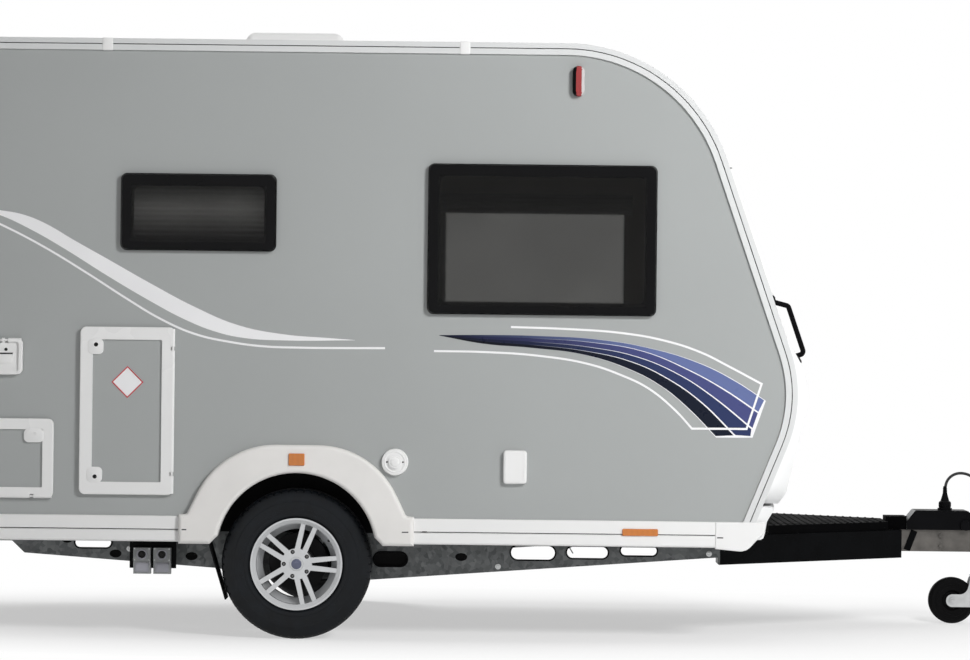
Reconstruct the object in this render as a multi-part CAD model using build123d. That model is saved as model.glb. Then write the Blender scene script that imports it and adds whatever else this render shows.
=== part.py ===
# Single-axle travel caravan: hollow sandwich-panel body on a galvanised chassis,
# with an A-frame drawbar, overrun coupling, jockey wheel and four corner steadies.
# Millimetres. +X points to the coupling, +Z up, ground at z = 0.
# Lengths along X are counted from the axle line; write_nodes moves the whole part
# so that the origin lies on the ground under the middle of its bounding box.
import os
from math import asin, atan2, cos, degrees, radians, sin, sqrt, tan

from build123d import *

# Bumper's back behind the axle line, and what lies ahead of it: the rear wall's visible edge at its foot,
# its widest point and the roof, the rear panel's seam on the roof, and the ends of skirts and rails
REAR_REACH = 2090.0
REAR_FOOT_IN = 160.0
REAR_BELLY_IN = 90.0
REAR_TOP_IN = 175.0
REAR_SEAM_IN = 590.0
SKIRT_REAR_IN = 240.0
RAIL_REAR_IN = 210.0
STEADY_REAR_IN = 450.0

# Body shell
BODY_HALF = 1030.0
WALL = 34.0
FLOOR_UNDER = 440.0
FLOOR_THICK = 42.0
FLOOR_GAP = 1.0
ROOF_EDGE = 2498.0
SHELL_SEAT = 24.0
SHELL_OUT = 50.0
WALL_EDGE = 20.0
TRIM_PROUD = 12.0
TRIM_GROOVE = 4.0
TRIM_GROOVE_AT = 24.0
BOW_RADIUS = 9000.0
FRONT_SPLIT = 1120.0
REAR_SPLIT = REAR_SEAM_IN - REAR_REACH

# Corners of the visible edge of the side wall: x, z, corner radius, 1 if it bows forward
BODY_CORNERS = [
    (REAR_FOOT_IN - REAR_REACH, FLOOR_UNDER, 0.0, 0),
    (REAR_BELLY_IN - REAR_REACH, 900.0, 900.0, 0),
    (REAR_TOP_IN - REAR_REACH, ROOF_EDGE, 330.0, 0),
    (1609.0, ROOF_EDGE, 672.0, 1),
    (2110.0, 1046.0, 535.0, 1),
    (1865.0, FLOOR_UNDER, 0.0, 1),
]
BULGE_X = BODY_CORNERS[4][0]

# Moulding on the lower front and sill under it: x at the side, z, corner radius
MOULDING_CORNERS = [
    (2066.0, 1320.0, 0.0),
    (2140.0, 1190.0, 60.0),
    (2178.0, 1075.0, 300.0),
    (2079.0, 646.0, 50.0),
    (2044.0, 596.0, 0.0),
    (1800.0, 596.0, 0.0),
    (1800.0, 1320.0, 0.0),
]
MOULDING_HALF = BODY_HALF - 45.0
MOULDING_CORNER = 90.0
MOULDING_SPARE = 2.0
SILL_CORNERS = [
    (2036.0, 585.0, 12.0),
    (1999.0, 524.0, 60.0),
    (1985.0, 446.0, 20.0),
    (1780.0, 446.0, 0.0),
    (1780.0, 585.0, 0.0),
]

# Side skirts
SKIRT_TOP = 522.0
SKIRT_BOTTOM = 412.0
SKIRT_PROUD = 14.0
SKIRT_RETURN = 30.0
SKIRT_FRONT = 1779.0
SKIRT_REAR = SKIRT_REAR_IN - REAR_REACH
SKIRT_TOP_ROUND = 7.0
SKIRT_FOOT_ROUND = 10.0
SKIRT_GROOVE_DOWN = 4.0
SKIRT_GROOVE_HALF = 4.0
SKIRT_GROOVE_DEEP = 5.0
SKIRT_GROOVE_ROUND = 1.5
CAP_BOTTOM = 395.0
CAP_FRONT = 1990.0
CAP_PROUD = 2.0
CAP_EDGE_ROUND = 6.0
CAP_LIP = 40.0
CAP_LIP_ROUND = 30.0
CAP_RAKE = 80.0
CAP_FOOT_ROUND = 60.0
CAP_SEAM_RISE = 12.0
TAIL_ROUND = 50.0

# Windows: wall, centre x, centre z, width, height
SIDE_WINDOWS = [
    ("right", 1031.0, 1711.0, 974.0, 640.0),
    ("right", -429.0, 1812.0, 662.0, 328.0),
    ("left", 1031.0, 1711.0, 974.0, 640.0),
]
WINDOW_BORDER = 46.0
WINDOW_FRAME_PROUD = 8.0
PANE_THICK = 16.0
PANE_ROUND = 28.0
PANE_EDGE_ROUND = 6.0
PANE_GAP = 0.3
FRONT_WINDOW_IN = 250.0
REAR_WINDOW_IN = 380.0
FRONT_WINDOW = (0.0, 1760.0, 2 * (BODY_HALF - FRONT_WINDOW_IN), 520.0)
REAR_WINDOW = (0.0, 1720.0, 2 * (BODY_HALF - REAR_WINDOW_IN), 480.0)
END_PANE_THICK = 8.0
END_PANE_LAP = 22.0

# Hinged leaves share these sizes; each turns about the middle of its own rounded edge
HINGE_PIN_R = 3.2
HINGE_RUN = 0.3
HINGE_LUG = 14.0
HINGE_LUG_HALF = 5.0
HINGE_PIN_REACH = 12.0
HINGE_SLOT_R = 12.0
HINGE_FROM_END = 90.0
LEAF_GAP = 0.5
FLANGE_PROUD = 5.5
OPENING_INSET = 16.0
PLUG_GAP = 10.0

# Leaves: wall, hinge side, centre x, centre z, width, height, frame border, proud, plug depth
LEAVES = {
    "gas_locker_door": ("right", "front", -724.0, 966.0, 402.0, 712.0, 54.0, 24.0, 30.0),
    "storage_hatch_door": ("right", "bottom", -1272.0, 760.0, 476.0, 338.0, 46.0, 24.0, 30.0),
    "inlet_lid": ("right", "top", -1252.0, 1192.0, 166.0, 156.0, 16.0, 26.0, 12.0),
    "entry_door": ("left", "rear", -1000.0, 1396.0, 630.0, 1728.0, 70.0, 20.0, 32.0),
}
LEAF_POCKET = 9.0
LEAF_ROUND = 26.0
LEAF_RIM = 5.0
LOCK_PAD = 50.0
LOCK_R = 9.0
LOCK_DEEP = 6.0
LOCKER_DEPTH = 380.0
LOCKER_WALL = 6.0
DOOR_WINDOW_W = 330.0
DOOR_WINDOW_H = 620.0
DOOR_WINDOW_UP = 420.0
DOOR_HANDLE_DOWN = 180.0
DOOR_PLATE = (52.0, 150.0, 12.0)
DOOR_GRIP = (24.0, 70.0, 26.0)

# Running gear
TYRE_R = 320.0
TYRE_WIDE = 185.0
TYRE_SHOULDER = 34.0
TYRE_BEAD_R = 180.0
TYRE_LIP_GAP = 1.0
TYRE_BEAD_IN = 7.0
TYRE_BULGE_UP = 12.0
TYRE_WIDEST_SHARE = 0.435
TYRE_SIDE_IN = 5.0
TYRE_EDGE_DOWN = 10.0
TYRE_EDGE_IN = 18.0
TYRE_TREAD_IN = 32.0
TREAD_GROOVE = 8.0
TREAD_GROOVE_HALF = 4.0
TREAD_GROOVES_AT = (-42.0, -14.0, 14.0, 42.0)
WHEEL_IN = 102.0
WHEEL_Y = BODY_HALF - WHEEL_IN
RIM_LIP_R = 196.0
RIM_WALL = 7.0
RIM_WIDE = 165.0
RIM_FIT = 0.3
RIM_FLANGE = 6.5
RIM_WELL_DEEP = 26.0
RIM_WELL_BACK = 42.5
RIM_WELL_HALF = 24.5
RIM_WELL_FRONT = 16.5
RIM_SEAT_FRONT = 38.5
RIM_SEAT = 8.0
RIM_FACE_IN = 14.0
SPOKE_PAIRS = 5
SPOKE_WIDE = 19.0
SPOKE_THICK = 26.0
SPOKE_HUB_SPREAD = 15.0
SPOKE_RIM_SPREAD = 27.0
SPOKE_FOOT_IN = 16.0
SPOKE_FOOT_GROW = 1.24
HUB_R = 66.0
HUB_CAP_R = 29.0
HUB_CAP_PROUD = 14.0
HUB_CAP_FACE = 6.0
BOLT_CIRCLE_R = 54.0
BOLT_HOLE_R = 9.0
BOLT_HOLE_DEEP = 19.0
DRUM_R = 125.0
DRUM_WIDE = 62.0
DRUM_GAP = 6.0
DRUM_NOSE = 6.0
STUB_R = 20.0
STUB_RUN = 0.3
STUB_OUT = 20.0
AXLE_FORE = 165.0
AXLE_Z = 330.0
AXLE_HEX = 100.0
AXLE_WALL = 8.0
AXLE_PLUG = 60.0
ARM_THICK = 40.0
ARM_BOSS_R = 62.0
ARM_END_R = 46.0
ARM_STEP = 6.0
ARM_WEB_IN = 4.0
BRAKE_PLATE = 8.0
BRAKE_PLATE_IN = 4.0

# Wheel arches, liners and mudflaps, from the tyre outwards
ARCH_GAP = 20.0
ARCH_OPEN_R = TYRE_R + ARCH_GAP
ARCH_OPEN_UP = 50.0
ARCH_OPEN_Z = TYRE_R + ARCH_OPEN_UP
ARCH_PROUD = 40.0
ARCH_FOOT_LONG = 160.0
ARCH_FOOT = ARCH_OPEN_R + ARCH_FOOT_LONG
ARCH_FLARE = 28.0
ARCH_FOOT_IN = ARCH_OPEN_R + ARCH_FLARE
ARCH_FOOT_BOTTOM = 405.0
ARCH_FOOT_TOP = 528.0
ARCH_FOOT_ROUND = 4.0
ARCH_STEP = 34.0
ARCH_STEP_RISE = 4.0
ARCH_STEP_ROUND = 14.0
ARCH_HAUNCH_IN = 18.0
ARCH_HAUNCH = ARCH_OPEN_R - ARCH_HAUNCH_IN
ARCH_HAUNCH_ROUND = 370.0
ARCH_BAND = 119.0
ARCH_TOP = ARCH_OPEN_Z + ARCH_OPEN_R + ARCH_BAND
ARCH_EDGE_ROUND = 18.0
LINER_GAP = 12.0
LINER_WALL = 5.0
LINER_DEPTH = 245.0
FLAP_BACK = 48.0
FLAP_TOP_X = -ARCH_OPEN_R - FLAP_BACK
FLAP_LEAN = 84.0
FLAP_FOOT_X = FLAP_TOP_X + FLAP_LEAN
FLAP_FOOT_Z = 165.0
FLAP_SHEET = 5.0
FLAP_WIDE = 140.0

# Chassis rails: x, z of the lower edge, from the rear to the front
RAIL_FROM_WHEEL = 183.0
RAIL_Y = WHEEL_Y - RAIL_FROM_WHEEL
RAIL_SHEET = 4.0
RAIL_FLANGE = 50.0
RAIL_REAR = RAIL_REAR_IN - REAR_REACH
RAIL_FRONT = 1815.0
RAIL_LOWER = [
    (RAIL_REAR, 404.0),
    (-1265.0, 404.0),
    (-1195.0, 338.0),
    (-370.0, 281.0),
    (-120.0, 240.0),
    (310.0, 237.0),
    (RAIL_FRONT, 350.0),
]
# Lightening slots in each rail: centre x, centre z, length, height
RAIL_SLOTS = [
    (-897.0, 386.0, 156.0, 44.0),
    (393.0, 327.0, 143.0, 58.0),
    (1011.0, 362.0, 192.0, 60.0),
    (1247.0, 366.0, 178.0, 50.0),
    (1470.0, 376.0, 157.0, 42.0),
]
CROSS_WIDE = 60.0
END_PLATE = 8.0
END_PLATE_IN = 150.0
END_PLATE_DROP = 30.0

# A-frame drawbar, from the rails' end plates forward
DRAWBAR_ROOT_IN = 53.0
DRAWBAR_ROOT_Y = RAIL_Y - DRAWBAR_ROOT_IN
DRAWBAR_LONG = 871.0
DRAWBAR_TIP_X = RAIL_FRONT + END_PLATE + DRAWBAR_LONG
DRAWBAR_TIP_Y = 108.0
DRAWBAR_TOP = 439.0
DRAWBAR_TALL = 125.0
DRAWBAR_SHEET = 5.0
DRAWBAR_FLANGE = 55.0
DRAWBAR_SPARE = 300.0
COVER_GAP = 8.0
COVER_TALL = 39.0
COVER_WALL = 4.0
COVER_SIDE_IN = 10.0
COVER_LAP = 28.0
STEP_LONG = 95.0
STEP_TALL = 60.0
STEP_HALF = 58.0

# Overrun device and coupling, from the A-frame's tip forward
HOUSING_LAP = 94.0
HOUSING_LONG = 510.0
HOUSING_REAR = DRAWBAR_TIP_X - HOUSING_LAP
HOUSING_FRONT = HOUSING_REAR + HOUSING_LONG
HOUSING_HALF = 50.0
HOUSING_BOTTOM = 340.0
HOUSING_NOSE = 18.0
COVER_FRONT = HOUSING_REAR + COVER_LAP
TOP_COVER_REAR = COVER_FRONT + STEP_LONG
TOP_COVER_LONG = 337.0
TOP_COVER_HALF = 66.0
TOP_COVER_TALL = 88.0
TOP_COVER_SIDE = 40.0
TOP_COVER_REAR_RAKE = 38.0
TOP_COVER_FRONT_RAKE = 60.0
TOP_COVER_ROUND = 12.0
SHAFT_Z = 392.0
SHAFT_R = 25.0
SHAFT_LAP = 170.0
SHAFT_END_GAP = 10.0
GAITER_R = 42.0
GAITER_RIB = 10.0
GAITER_RIBS = 6
GAITER_LONG = 130.0
GAITER_FRONT = HOUSING_FRONT + GAITER_LONG
HEAD_LONG = 240.0
HITCH_REACH = GAITER_FRONT + HEAD_LONG
HEAD_R = 50.0
HEAD_TUBE_R = 34.0
HEAD_SOCKET = 90.0
BALL_R = 25.2
BALL_SEAT = 28.0
HEAD_BOTTOM = 366.0
HEAD_CROWN = 16.0
# Release lever on the head: x from the ball, z over the crown, corner radius
RELEASE_LEVER = [
    (18.0, -12.0, 0.0),
    (22.0, 10.0, 8.0),
    (-60.0, 34.0, 20.0),
    (-190.0, 70.0, 5.0),
    (-194.0, 54.0, 5.0),
    (-60.0, 12.0, 10.0),
    (-40.0, -12.0, 0.0),
]
RELEASE_HALF = 16.0
# Handbrake lever: pivot behind the housing's nose, and its tip from the pivot
BRAKE_LEVER_BACK = 120.0
BRAKE_LEVER_Z = 462.0
BRAKE_LEVER_REACH = 310.0
BRAKE_LEVER_RISE = 178.0
BRAKE_LEVER_OUT = 10.0
BRAKE_BOSS_R = 24.0
BRAKE_BOSS_OUT = 8.0
BRAKE_BAR_R = 9.0
BRAKE_GRIP_R = 15.0
BRAKE_GRIP_FROM = 0.62
BRAKE_ROD_R = 5.0
BRAKE_ROD_HOLE_R = 11.0
BRAKE_ROD_Z = 372.0

# Plug parked on the top cover, and the lead from it to its gland: x from the plug, y, z
PLUG_FORE = 181.0
PLUG_X = TOP_COVER_REAR + PLUG_FORE
PLUG_TOP = 602.0
PLUG_R = 27.0
PLUG_NECK_R = 20.0
PLUG_BOOT_R = 10.5
PLUG_BODY_SHARE = 0.42
PLUG_NECK_SHARE = 0.50
PLUG_ROUND = 4.0
SOCKET_LIP = 6.0
SOCKET_PROUD = 9.0
LEAD_R = 6.5
LEAD_ROUTE = [
    (0.0, 0.0, 602.0),
    (0.0, 0.0, 638.0),
    (16.0, 0.0, 674.0),
    (50.0, -4.0, 696.0),
    (92.0, -12.0, 696.0),
    (130.0, -28.0, 676.0),
    (164.0, -50.0, 644.0),
    (196.0, -78.0, 606.0),
    (224.0, -110.0, 560.0),
    (248.0, -142.0, 508.0),
    (266.0, -170.0, 450.0),
    (280.0, -192.0, 390.0),
    (286.0, -206.0, 330.0),
    (268.0, -212.0, 272.0),
    (218.0, -212.0, 238.0),
    (160.0, -208.0, 250.0),
    (126.0, -202.0, 298.0),
    (122.0, -186.0, 348.0),
    (126.0, -154.0, 386.0),
    (129.0, -112.0, 400.0),
    (129.0, -74.0, 400.0),
]
GLAND_R = 11.0

# Jockey wheel
JOCKEY_BACK = 40.0
JOCKEY_X = HOUSING_FRONT - JOCKEY_BACK
JOCKEY_Y = 112.0
JOCKEY_TRAIL = 115.0
JOCKEY_WHEEL_R = 106.0
JOCKEY_WHEEL_WIDE = 52.0
JOCKEY_HUB_R = 48.0
JOCKEY_AXLE_R = 8.0
JOCKEY_STEM_R = 24.0
JOCKEY_SLEEVE_R = 30.0
JOCKEY_RUN = 0.4
JOCKEY_STEM_TOP = 640.0
JOCKEY_SLEEVE_BOTTOM = 385.0
JOCKEY_SLEEVE_TOP = 800.0
JOCKEY_CLAMP_TALL = 70.0
JOCKEY_CLAMP_OUT = 8.0
JOCKEY_CAP = 12.0
JOCKEY_TUBE_WALL = 4.0
JOCKEY_TYRE_ROUND = 12.0
JOCKEY_BOSS_R = 20.0
JOCKEY_BOSS_PROUD = 4.0
JOCKEY_WEB_IN = 8.0
CRANK_POST_R = 9.0
CRANK_POST_TALL = 34.0
CRANK_ARM_R = 7.0
CRANK_ARM_LONG = 95.0
CRANK_ARM_UP = 26.0
CRANK_GRIP_R = 11.0
CRANK_GRIP_TALL = 76.0
FORK_PLATE = 6.0
FORK_ARM_TALL = 58.0
FORK_TOP = 224.0
FORK_SIDE_GAP = 6.0
FORK_PIVOT_R = 12.0
FORK_PIVOT_DEEP = 40.0
FORK_HEAD_R = 22.0
FORK_HEAD_FORE = 28.0
FORK_BRIDGE = 8.0
FORK_NOSE_ROUND = 10.0
FORK_NECK_ROUND = 40.0
FORK_END_ROUND = 28.0
FORK_AXLE_OUT = 4.0

# Corner steadies: pivot x, direction the folded leg points along x, side
STEADY_FRONT_IN = 215.0
STEADY_FRONT_X = RAIL_FRONT - STEADY_FRONT_IN
STEADY_REAR_X = STEADY_REAR_IN - REAR_REACH
STEADIES = {
    "steady_front_right": (STEADY_FRONT_X, -1, -1),
    "steady_front_left": (STEADY_FRONT_X, -1, 1),
    "steady_rear_right": (STEADY_REAR_X, 1, -1),
    "steady_rear_left": (STEADY_REAR_X, 1, 1),
}
STEADY_RAIL_IN = 105.0
STEADY_Y = RAIL_Y - STEADY_RAIL_IN
STEADY_Z = 402.0
STEADY_LONG = 430.0
STEADY_TAIL = 26.0
STEADY_WIDE = 44.0
STEADY_TALL = 36.0
STEADY_SHEET = 4.0
STEADY_PIN_R = 8.0
STEADY_PIN_OUT = 4.0
STEADY_RUN = 0.3
STEADY_SIDE_GAP = 6.0
STEADY_EAR = 6.0
STEADY_EAR_HALF = 24.0
STEADY_EAR_DROP = 20.0
STEADY_FOOT = 80.0
STEADY_FOOT_OUT = 8.0
STEADY_ANKLE_HALF = 14.0
STEADY_ANKLE_TALL = 22.0
STEADY_ANKLE_IN = 16.0
STEADY_DROP = 58.0

# Cross members between the rails, clear of the folded steadies: centre x, lowest z
CROSS_REAR_IN = 90.0
CROSS_FRONT_IN = 40.0
STEADY_TO_CROSS = (470.0, 310.0)
CROSS_MEMBERS = [
    (RAIL_REAR + CROSS_REAR_IN, 404.0),
    (STEADY_REAR_X + STEADY_LONG + STEADY_TO_CROSS[0], 350.0),
    (STEADY_FRONT_X - STEADY_LONG - STEADY_TO_CROSS[1], 320.0),
    (RAIL_FRONT - CROSS_FRONT_IN, 356.0),
]

# Fittings
FLUE_FORE = 94.0
FLUE_DOWN = 68.0
FLUE = (ARCH_HAUNCH + FLUE_FORE, ARCH_TOP - FLUE_DOWN, 57.0)
FLUE_KNOB_R = 26.0
FLUE_KNOB_PROUD = 9.0
FLUE_ROUND = 6.0
VENT = (926.0, 745.0, 100.0, 142.0)
VENT_PROUD = 26.0
VENT_CORNER = 14.0
VENT_ROUND = 8.0
FLUE_PROUD = 20.0
SKIRT_LAMP = (1460.0, 474.0, 152.0, 30.0)
ARCH_LAMP_DOWN = 61.0
ARCH_LAMP = (0.0, ARCH_TOP - ARCH_LAMP_DOWN, 68.0, 52.0)
LAMP_PROUD = 7.0
LAMP_CORNER = 5.0
LAMP_ROUND = 3.0
OUTLINE_LAMP = (1178.0, 2386.0, 52.0, 132.0)
OUTLINE_LAMP_PROUD = 34.0
OUTLINE_LAMP_ROUND = 14.0
REAR_LAMP_IN = 150.0
REAR_LAMP = (BODY_HALF - REAR_LAMP_IN, 800.0, 130.0, 360.0)
REAR_LAMP_CORNER = 24.0
REAR_LAMP_PROUD = 22.0
BUMPER_TOP = 560.0
BUMPER_BOTTOM = 420.0
BUMPER_ROUND = 30.0
BUMPER_LIP = 40.0
BUMPER_CORNER = 70.0
ROOF_LIGHT_X = -80.0
ROOF_LIGHT_HOLE = 400.0
ROOF_LIGHT_SIZE = 500.0
ROOF_LIGHT_BASE = 26.0
ROOF_LIGHT_DOME = 84.0
ROOF_LIGHT_WALL = 5.0
ROOF_LIGHT_ROUND = 60.0
ROOF_LIGHT_TAPER = 30.0
ROOF_LIGHT_CROWN = 50.0
HANDLE_IN = 150.0
HANDLE_Y = BODY_HALF - HANDLE_IN
HANDLE_R = 11.0
HANDLE_SINK = 12.0
HANDLE_BEND = 16.0
HANDLE_SHOULDER = 18.0
FRONT_HANDLE_OFF = 52.0
REAR_HANDLE_OFF = 44.0
FRONT_HANDLE_Z = (1222.0, 1462.0)
REAR_HANDLE_Z = (1180.0, 1420.0)
OUTLET_X = (-668.0, -582.0)
OUTLET_WIDE = 74.0
OUTLET_TOP = 376.0
OUTLET_TALL = 112.0
OUTLET_DEEP = 44.0
OUTLET_IN = 162.0
OUTLET_Y = BODY_HALF - OUTLET_IN
OUTLET_PLATE = 6.0
OUTLET_PLATE_DROP = 90.0
OUTLET_PLATE_MARGIN = 20.0
OUTLET_STEP = 6.0
OUTLET_SOCKET_R = 17.0
OUTLET_PIN_R = 9.0
OUTLET_SOCKET_DEEP = 14.0
INLET_DEEP = 90.0
INLET_SOCKET_R = 34.0
INLET_SOCKET_LOW = 30.0

# Values worked out from the ones above
WALL_IN = BODY_HALF - WALL
SHELL_HALF = BODY_HALF - TRIM_PROUD
BOW_SAG = BOW_RADIUS - sqrt(BOW_RADIUS**2 - BODY_HALF**2)
BOW_AXIS = Axis((BULGE_X + BOW_SAG - BOW_RADIUS, 0, 0), (0, 0, 1))
BOW_SWEEP = degrees(asin(BODY_HALF / BOW_RADIUS)) * 1.5
COVER_REAR = SILL_CORNERS[2][0] + BOW_SAG + COVER_GAP
LINER_R = ARCH_OPEN_R + LINER_GAP
FAR = 6000.0


def block(x, y, z):
    """Box between pairs of limits."""
    size = [high - low for low, high in (x, y, z)]
    middle = [(high + low) / 2 for low, high in (x, y, z)]
    return Pos(*middle) * Box(*size)


def rounded(corners):
    """Flat face through (u, v, corner radius) rows."""
    face = make_face(Polyline(*[(u, v) for u, v, _ in corners], close=True))
    for u, v, radius in corners:
        if radius > 0:
            face = fillet(face.vertices().sort_by_distance((u, v, 0))[0:1], radius)
    return face


def along_y(face, low, high):
    """Extrudes an (x, z) face between two y limits."""
    return extrude(Plane.XZ.offset(-high) * face, amount=high - low)


def along_x(face, low, high):
    """Extrudes a (y, z) face between two x limits."""
    return extrude(Plane.YZ.offset(low) * face, amount=high - low)


def along_z(face, low, high):
    """Extrudes an (x, y) face between two z limits."""
    return extrude(Pos(0, 0, low) * face, amount=high - low)


def rounded_out(part, radius):
    """Rounds the edges of a left-hand piece's outermost face."""
    outside = part.bounding_box().max.Y
    return fillet([e for e in part.edges() if abs(e.center().Y - outside) < 0.01], radius)


def rod(start, end, radius):
    """Round bar between two points."""
    way = Vector(*end) - Vector(*start)
    return Plane(origin=start, z_dir=way) * Cylinder(
        radius, way.length, align=(Align.CENTER, Align.CENTER, Align.MIN)
    )


def other_side(part):
    """The same piece on the right-hand side, mirrored over the middle plane."""
    return mirror(part, about=Plane.XZ)


def pair(part):
    """A left-hand piece and its right-hand twin."""
    return [part, other_side(part)]


def plate_face(x, z, wide, tall, radius):
    """Rounded rectangle in (x, z)."""
    return Pos(x, z) * RectangleRounded(wide, tall, radius)


def body_face(out, sag=0.0):
    """Outline of the body in (x, z), moved out from the visible wall edge, above the floor's underside."""
    corners = [(x + bows * sag, z, radius) for x, z, radius, bows in BODY_CORNERS]
    face = rounded(corners)
    if out:
        face = offset(face, amount=out, kind=Kind.INTERSECTION)
    keep = Pos(0, FLOOR_UNDER + FAR / 2) * Rectangle(2 * FAR, FAR)
    return face & keep


def bowed(face):
    """Sweeps an (x, z) face across the body along the bow of the front."""
    swept = revolve(Plane.XZ * face, axis=BOW_AXIS, revolution_arc=2 * BOW_SWEEP)
    return swept.rotate(BOW_AXIS, -BOW_SWEEP)


def bowed_band(inner, outer):
    """Front shell layer between two distances from the wall edge."""
    return bowed(body_face(outer, BOW_SAG) - body_face(inner, BOW_SAG))


def front_zone(half):
    return block((FRONT_SPLIT, FAR), (-half, half), (0, FAR))


def end_window_cut(window, x):
    """Rounded prism through an end wall, between two x limits."""
    y, z, wide, tall = window
    return along_x(Pos(y, z) * RectangleRounded(wide, tall, PANE_ROUND), *x)


def grown(window, by):
    y, z, wide, tall = window
    return (y, z, wide + 2 * by, tall + 2 * by)


# Hinged leaves: each is drawn on its hinge axis, with x across the leaf, y outwards and z along the axis


def leaf_half(name):
    """Half the thickness of a leaf's frame, which is also the radius of its hinged edge."""
    return (LEAVES[name][7] - FLANGE_PROUD - LEAF_GAP) / 2


def axis_out(name):
    """Height of a leaf's hinge axis over the wall."""
    return FLANGE_PROUD + LEAF_GAP + leaf_half(name)


def leaf_size(name):
    """Size of a leaf across and along its hinge."""
    hinge, wide, tall = LEAVES[name][1], *LEAVES[name][4:6]
    return (wide, tall) if hinge in ("front", "rear") else (tall, wide)


def leaf_plane(name):
    """Hinge frame of a leaf in the body."""
    wall, hinge, x, z = LEAVES[name][:4]
    side = 1 if wall == "left" else -1
    towards = 1 if hinge in ("rear", "bottom") else -1
    back = towards * (leaf_size(name)[0] / 2 - leaf_half(name))
    y = side * (BODY_HALF + axis_out(name))
    if hinge in ("front", "rear"):
        origin, x_dir = (x - back, y, z), (towards, 0, 0)
    else:
        origin, x_dir = (x, y, z - back), (0, 0, towards)
    axis = Vector(*x_dir).cross(Vector(0, side, 0))
    return Plane(origin=origin, x_dir=x_dir, z_dir=axis)


def leaf_outline(name, inset):
    """Rounded rectangle of a leaf, seen from outside, in the hinge frame's (x, z)."""
    across, along = leaf_size(name)
    middle = across / 2 - leaf_half(name)
    return plate_face(middle, 0, across - 2 * inset, along - 2 * inset, max(LEAF_ROUND - inset, LEAF_RIM))


def leaf_slab(name, face, low, high):
    """Extrudes a face of the hinge frame between two heights over the wall."""
    return along_y(face, low - axis_out(name), high - axis_out(name))


def hinge_places(name):
    """Places of the hinges along a leaf's axis."""
    reach = leaf_size(name)[1] / 2 - HINGE_FROM_END
    return (-reach, reach) if reach > HINGE_FROM_END / 3 else (-HINGE_LUG, HINGE_LUG)


def hinge_lug(name, at):
    """Lug on the wall with the pin that reaches into the leaf's edge on both sides of it."""
    half, wall = HINGE_LUG / 2, -axis_out(name)
    lug = Pos(0, 0, at) * Cylinder(HINGE_LUG_HALF, HINGE_LUG)
    lug += block((-HINGE_LUG_HALF, HINGE_LUG_HALF), (wall, 0), (at - half, at + half))
    return lug + Pos(0, 0, at) * Cylinder(HINGE_PIN_R, HINGE_LUG + 2 * HINGE_PIN_REACH)


def hinge_slot(at):
    """What a leaf's edge loses round a lug and its pin."""
    slot = Pos(0, 0, at) * Cylinder(HINGE_SLOT_R, HINGE_LUG + 4 * LEAF_GAP)
    return slot + Pos(0, 0, at) * Cylinder(
        HINGE_PIN_R + HINGE_RUN, HINGE_LUG + 2 * HINGE_PIN_REACH + 2 * LEAF_GAP
    )


def leaf_opening(name):
    """What the wall loses for a leaf."""
    return leaf_plane(name) * leaf_slab(name, leaf_outline(name, OPENING_INSET), -2 * WALL, WALL)


def leaf_flange(name):
    """Fixed flange on the wall round an opening, with the hinge lugs."""
    ring = leaf_outline(name, LEAF_RIM) - leaf_outline(name, OPENING_INSET)
    flange = leaf_slab(name, ring, 0, FLANGE_PROUD)
    for at in hinge_places(name):
        flange += hinge_lug(name, at)
    return leaf_plane(name) * flange


def lock_corners(name, inward):
    """Middles of the two lock pads, on the side away from the hinge."""
    across, along = leaf_size(name)
    border = LEAVES[name][6]
    edge = across - leaf_half(name) - border - inward
    return [(edge, sign * (along / 2 - border - inward)) for sign in (-1, 1)]


def leaf_door(name):
    """Moving leaf: raised frame with lock pads, recessed panel, plug behind it and rounded hinge edge."""
    across, along = leaf_size(name)
    border, proud, plug = LEAVES[name][6:]
    half = leaf_half(name)
    low = FLANGE_PROUD + LEAF_GAP
    door = leaf_slab(name, leaf_outline(name, 0), low, proud)
    front = [e for e in door.edges() if abs(e.center().Y - half) < 0.01]
    door = fillet(front, LEAF_RIM) - block((-FAR, 0), (-FAR, FAR), (-FAR, FAR))
    door += Cylinder(half, along - LEAF_ROUND / 2)
    pocket = leaf_outline(name, border)
    locked = border > LOCK_PAD / 3
    if locked:
        for place in lock_corners(name, 0):
            pocket -= Pos(*place) * RectangleRounded(LOCK_PAD, LOCK_PAD, LOCK_PAD / 4)
    door -= leaf_slab(name, pocket, proud - LEAF_POCKET, proud + WALL)
    if locked:
        for place in lock_corners(name, LOCK_PAD / 8):
            door -= leaf_slab(name, Pos(*place) * Circle(LOCK_R), proud - LOCK_DEEP, proud + WALL)
    door += leaf_slab(name, leaf_outline(name, OPENING_INSET + PLUG_GAP), -plug, low)
    for at in hinge_places(name):
        door -= hinge_slot(at)
    return leaf_plane(name) * door


# Body panels


def wheel_opening(low, high):
    """Round-topped hole for a wheel, between two y limits."""
    face = Pos(0, ARCH_OPEN_Z) * Circle(ARCH_OPEN_R)
    face += Pos(0, ARCH_OPEN_Z / 2) * Rectangle(2 * ARCH_OPEN_R, ARCH_OPEN_Z)
    return along_y(face, low, high)


def window_opening(x, z, wide, tall):
    inset = 2 * WINDOW_BORDER
    face = plate_face(x, z, wide - inset, tall - inset, PANE_ROUND)
    return along_y(face, WALL_IN - WALL, BODY_HALF + WALL)


def side_wall(wall):
    """Sandwich side panel with its windows, hatches, door and wheel opening cut."""
    panel = along_y(body_face(WALL_EDGE), WALL_IN, BODY_HALF)
    panel -= wheel_opening(WALL_IN - WALL, BODY_HALF + WALL)
    for where, x, z, wide, tall in SIDE_WINDOWS:
        if where == wall:
            panel -= window_opening(x, z, wide, tall)
    if wall == "right":
        panel = other_side(panel)
    for name, row in LEAVES.items():
        if row[0] == wall:
            panel -= leaf_opening(name)
    return panel


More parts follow.
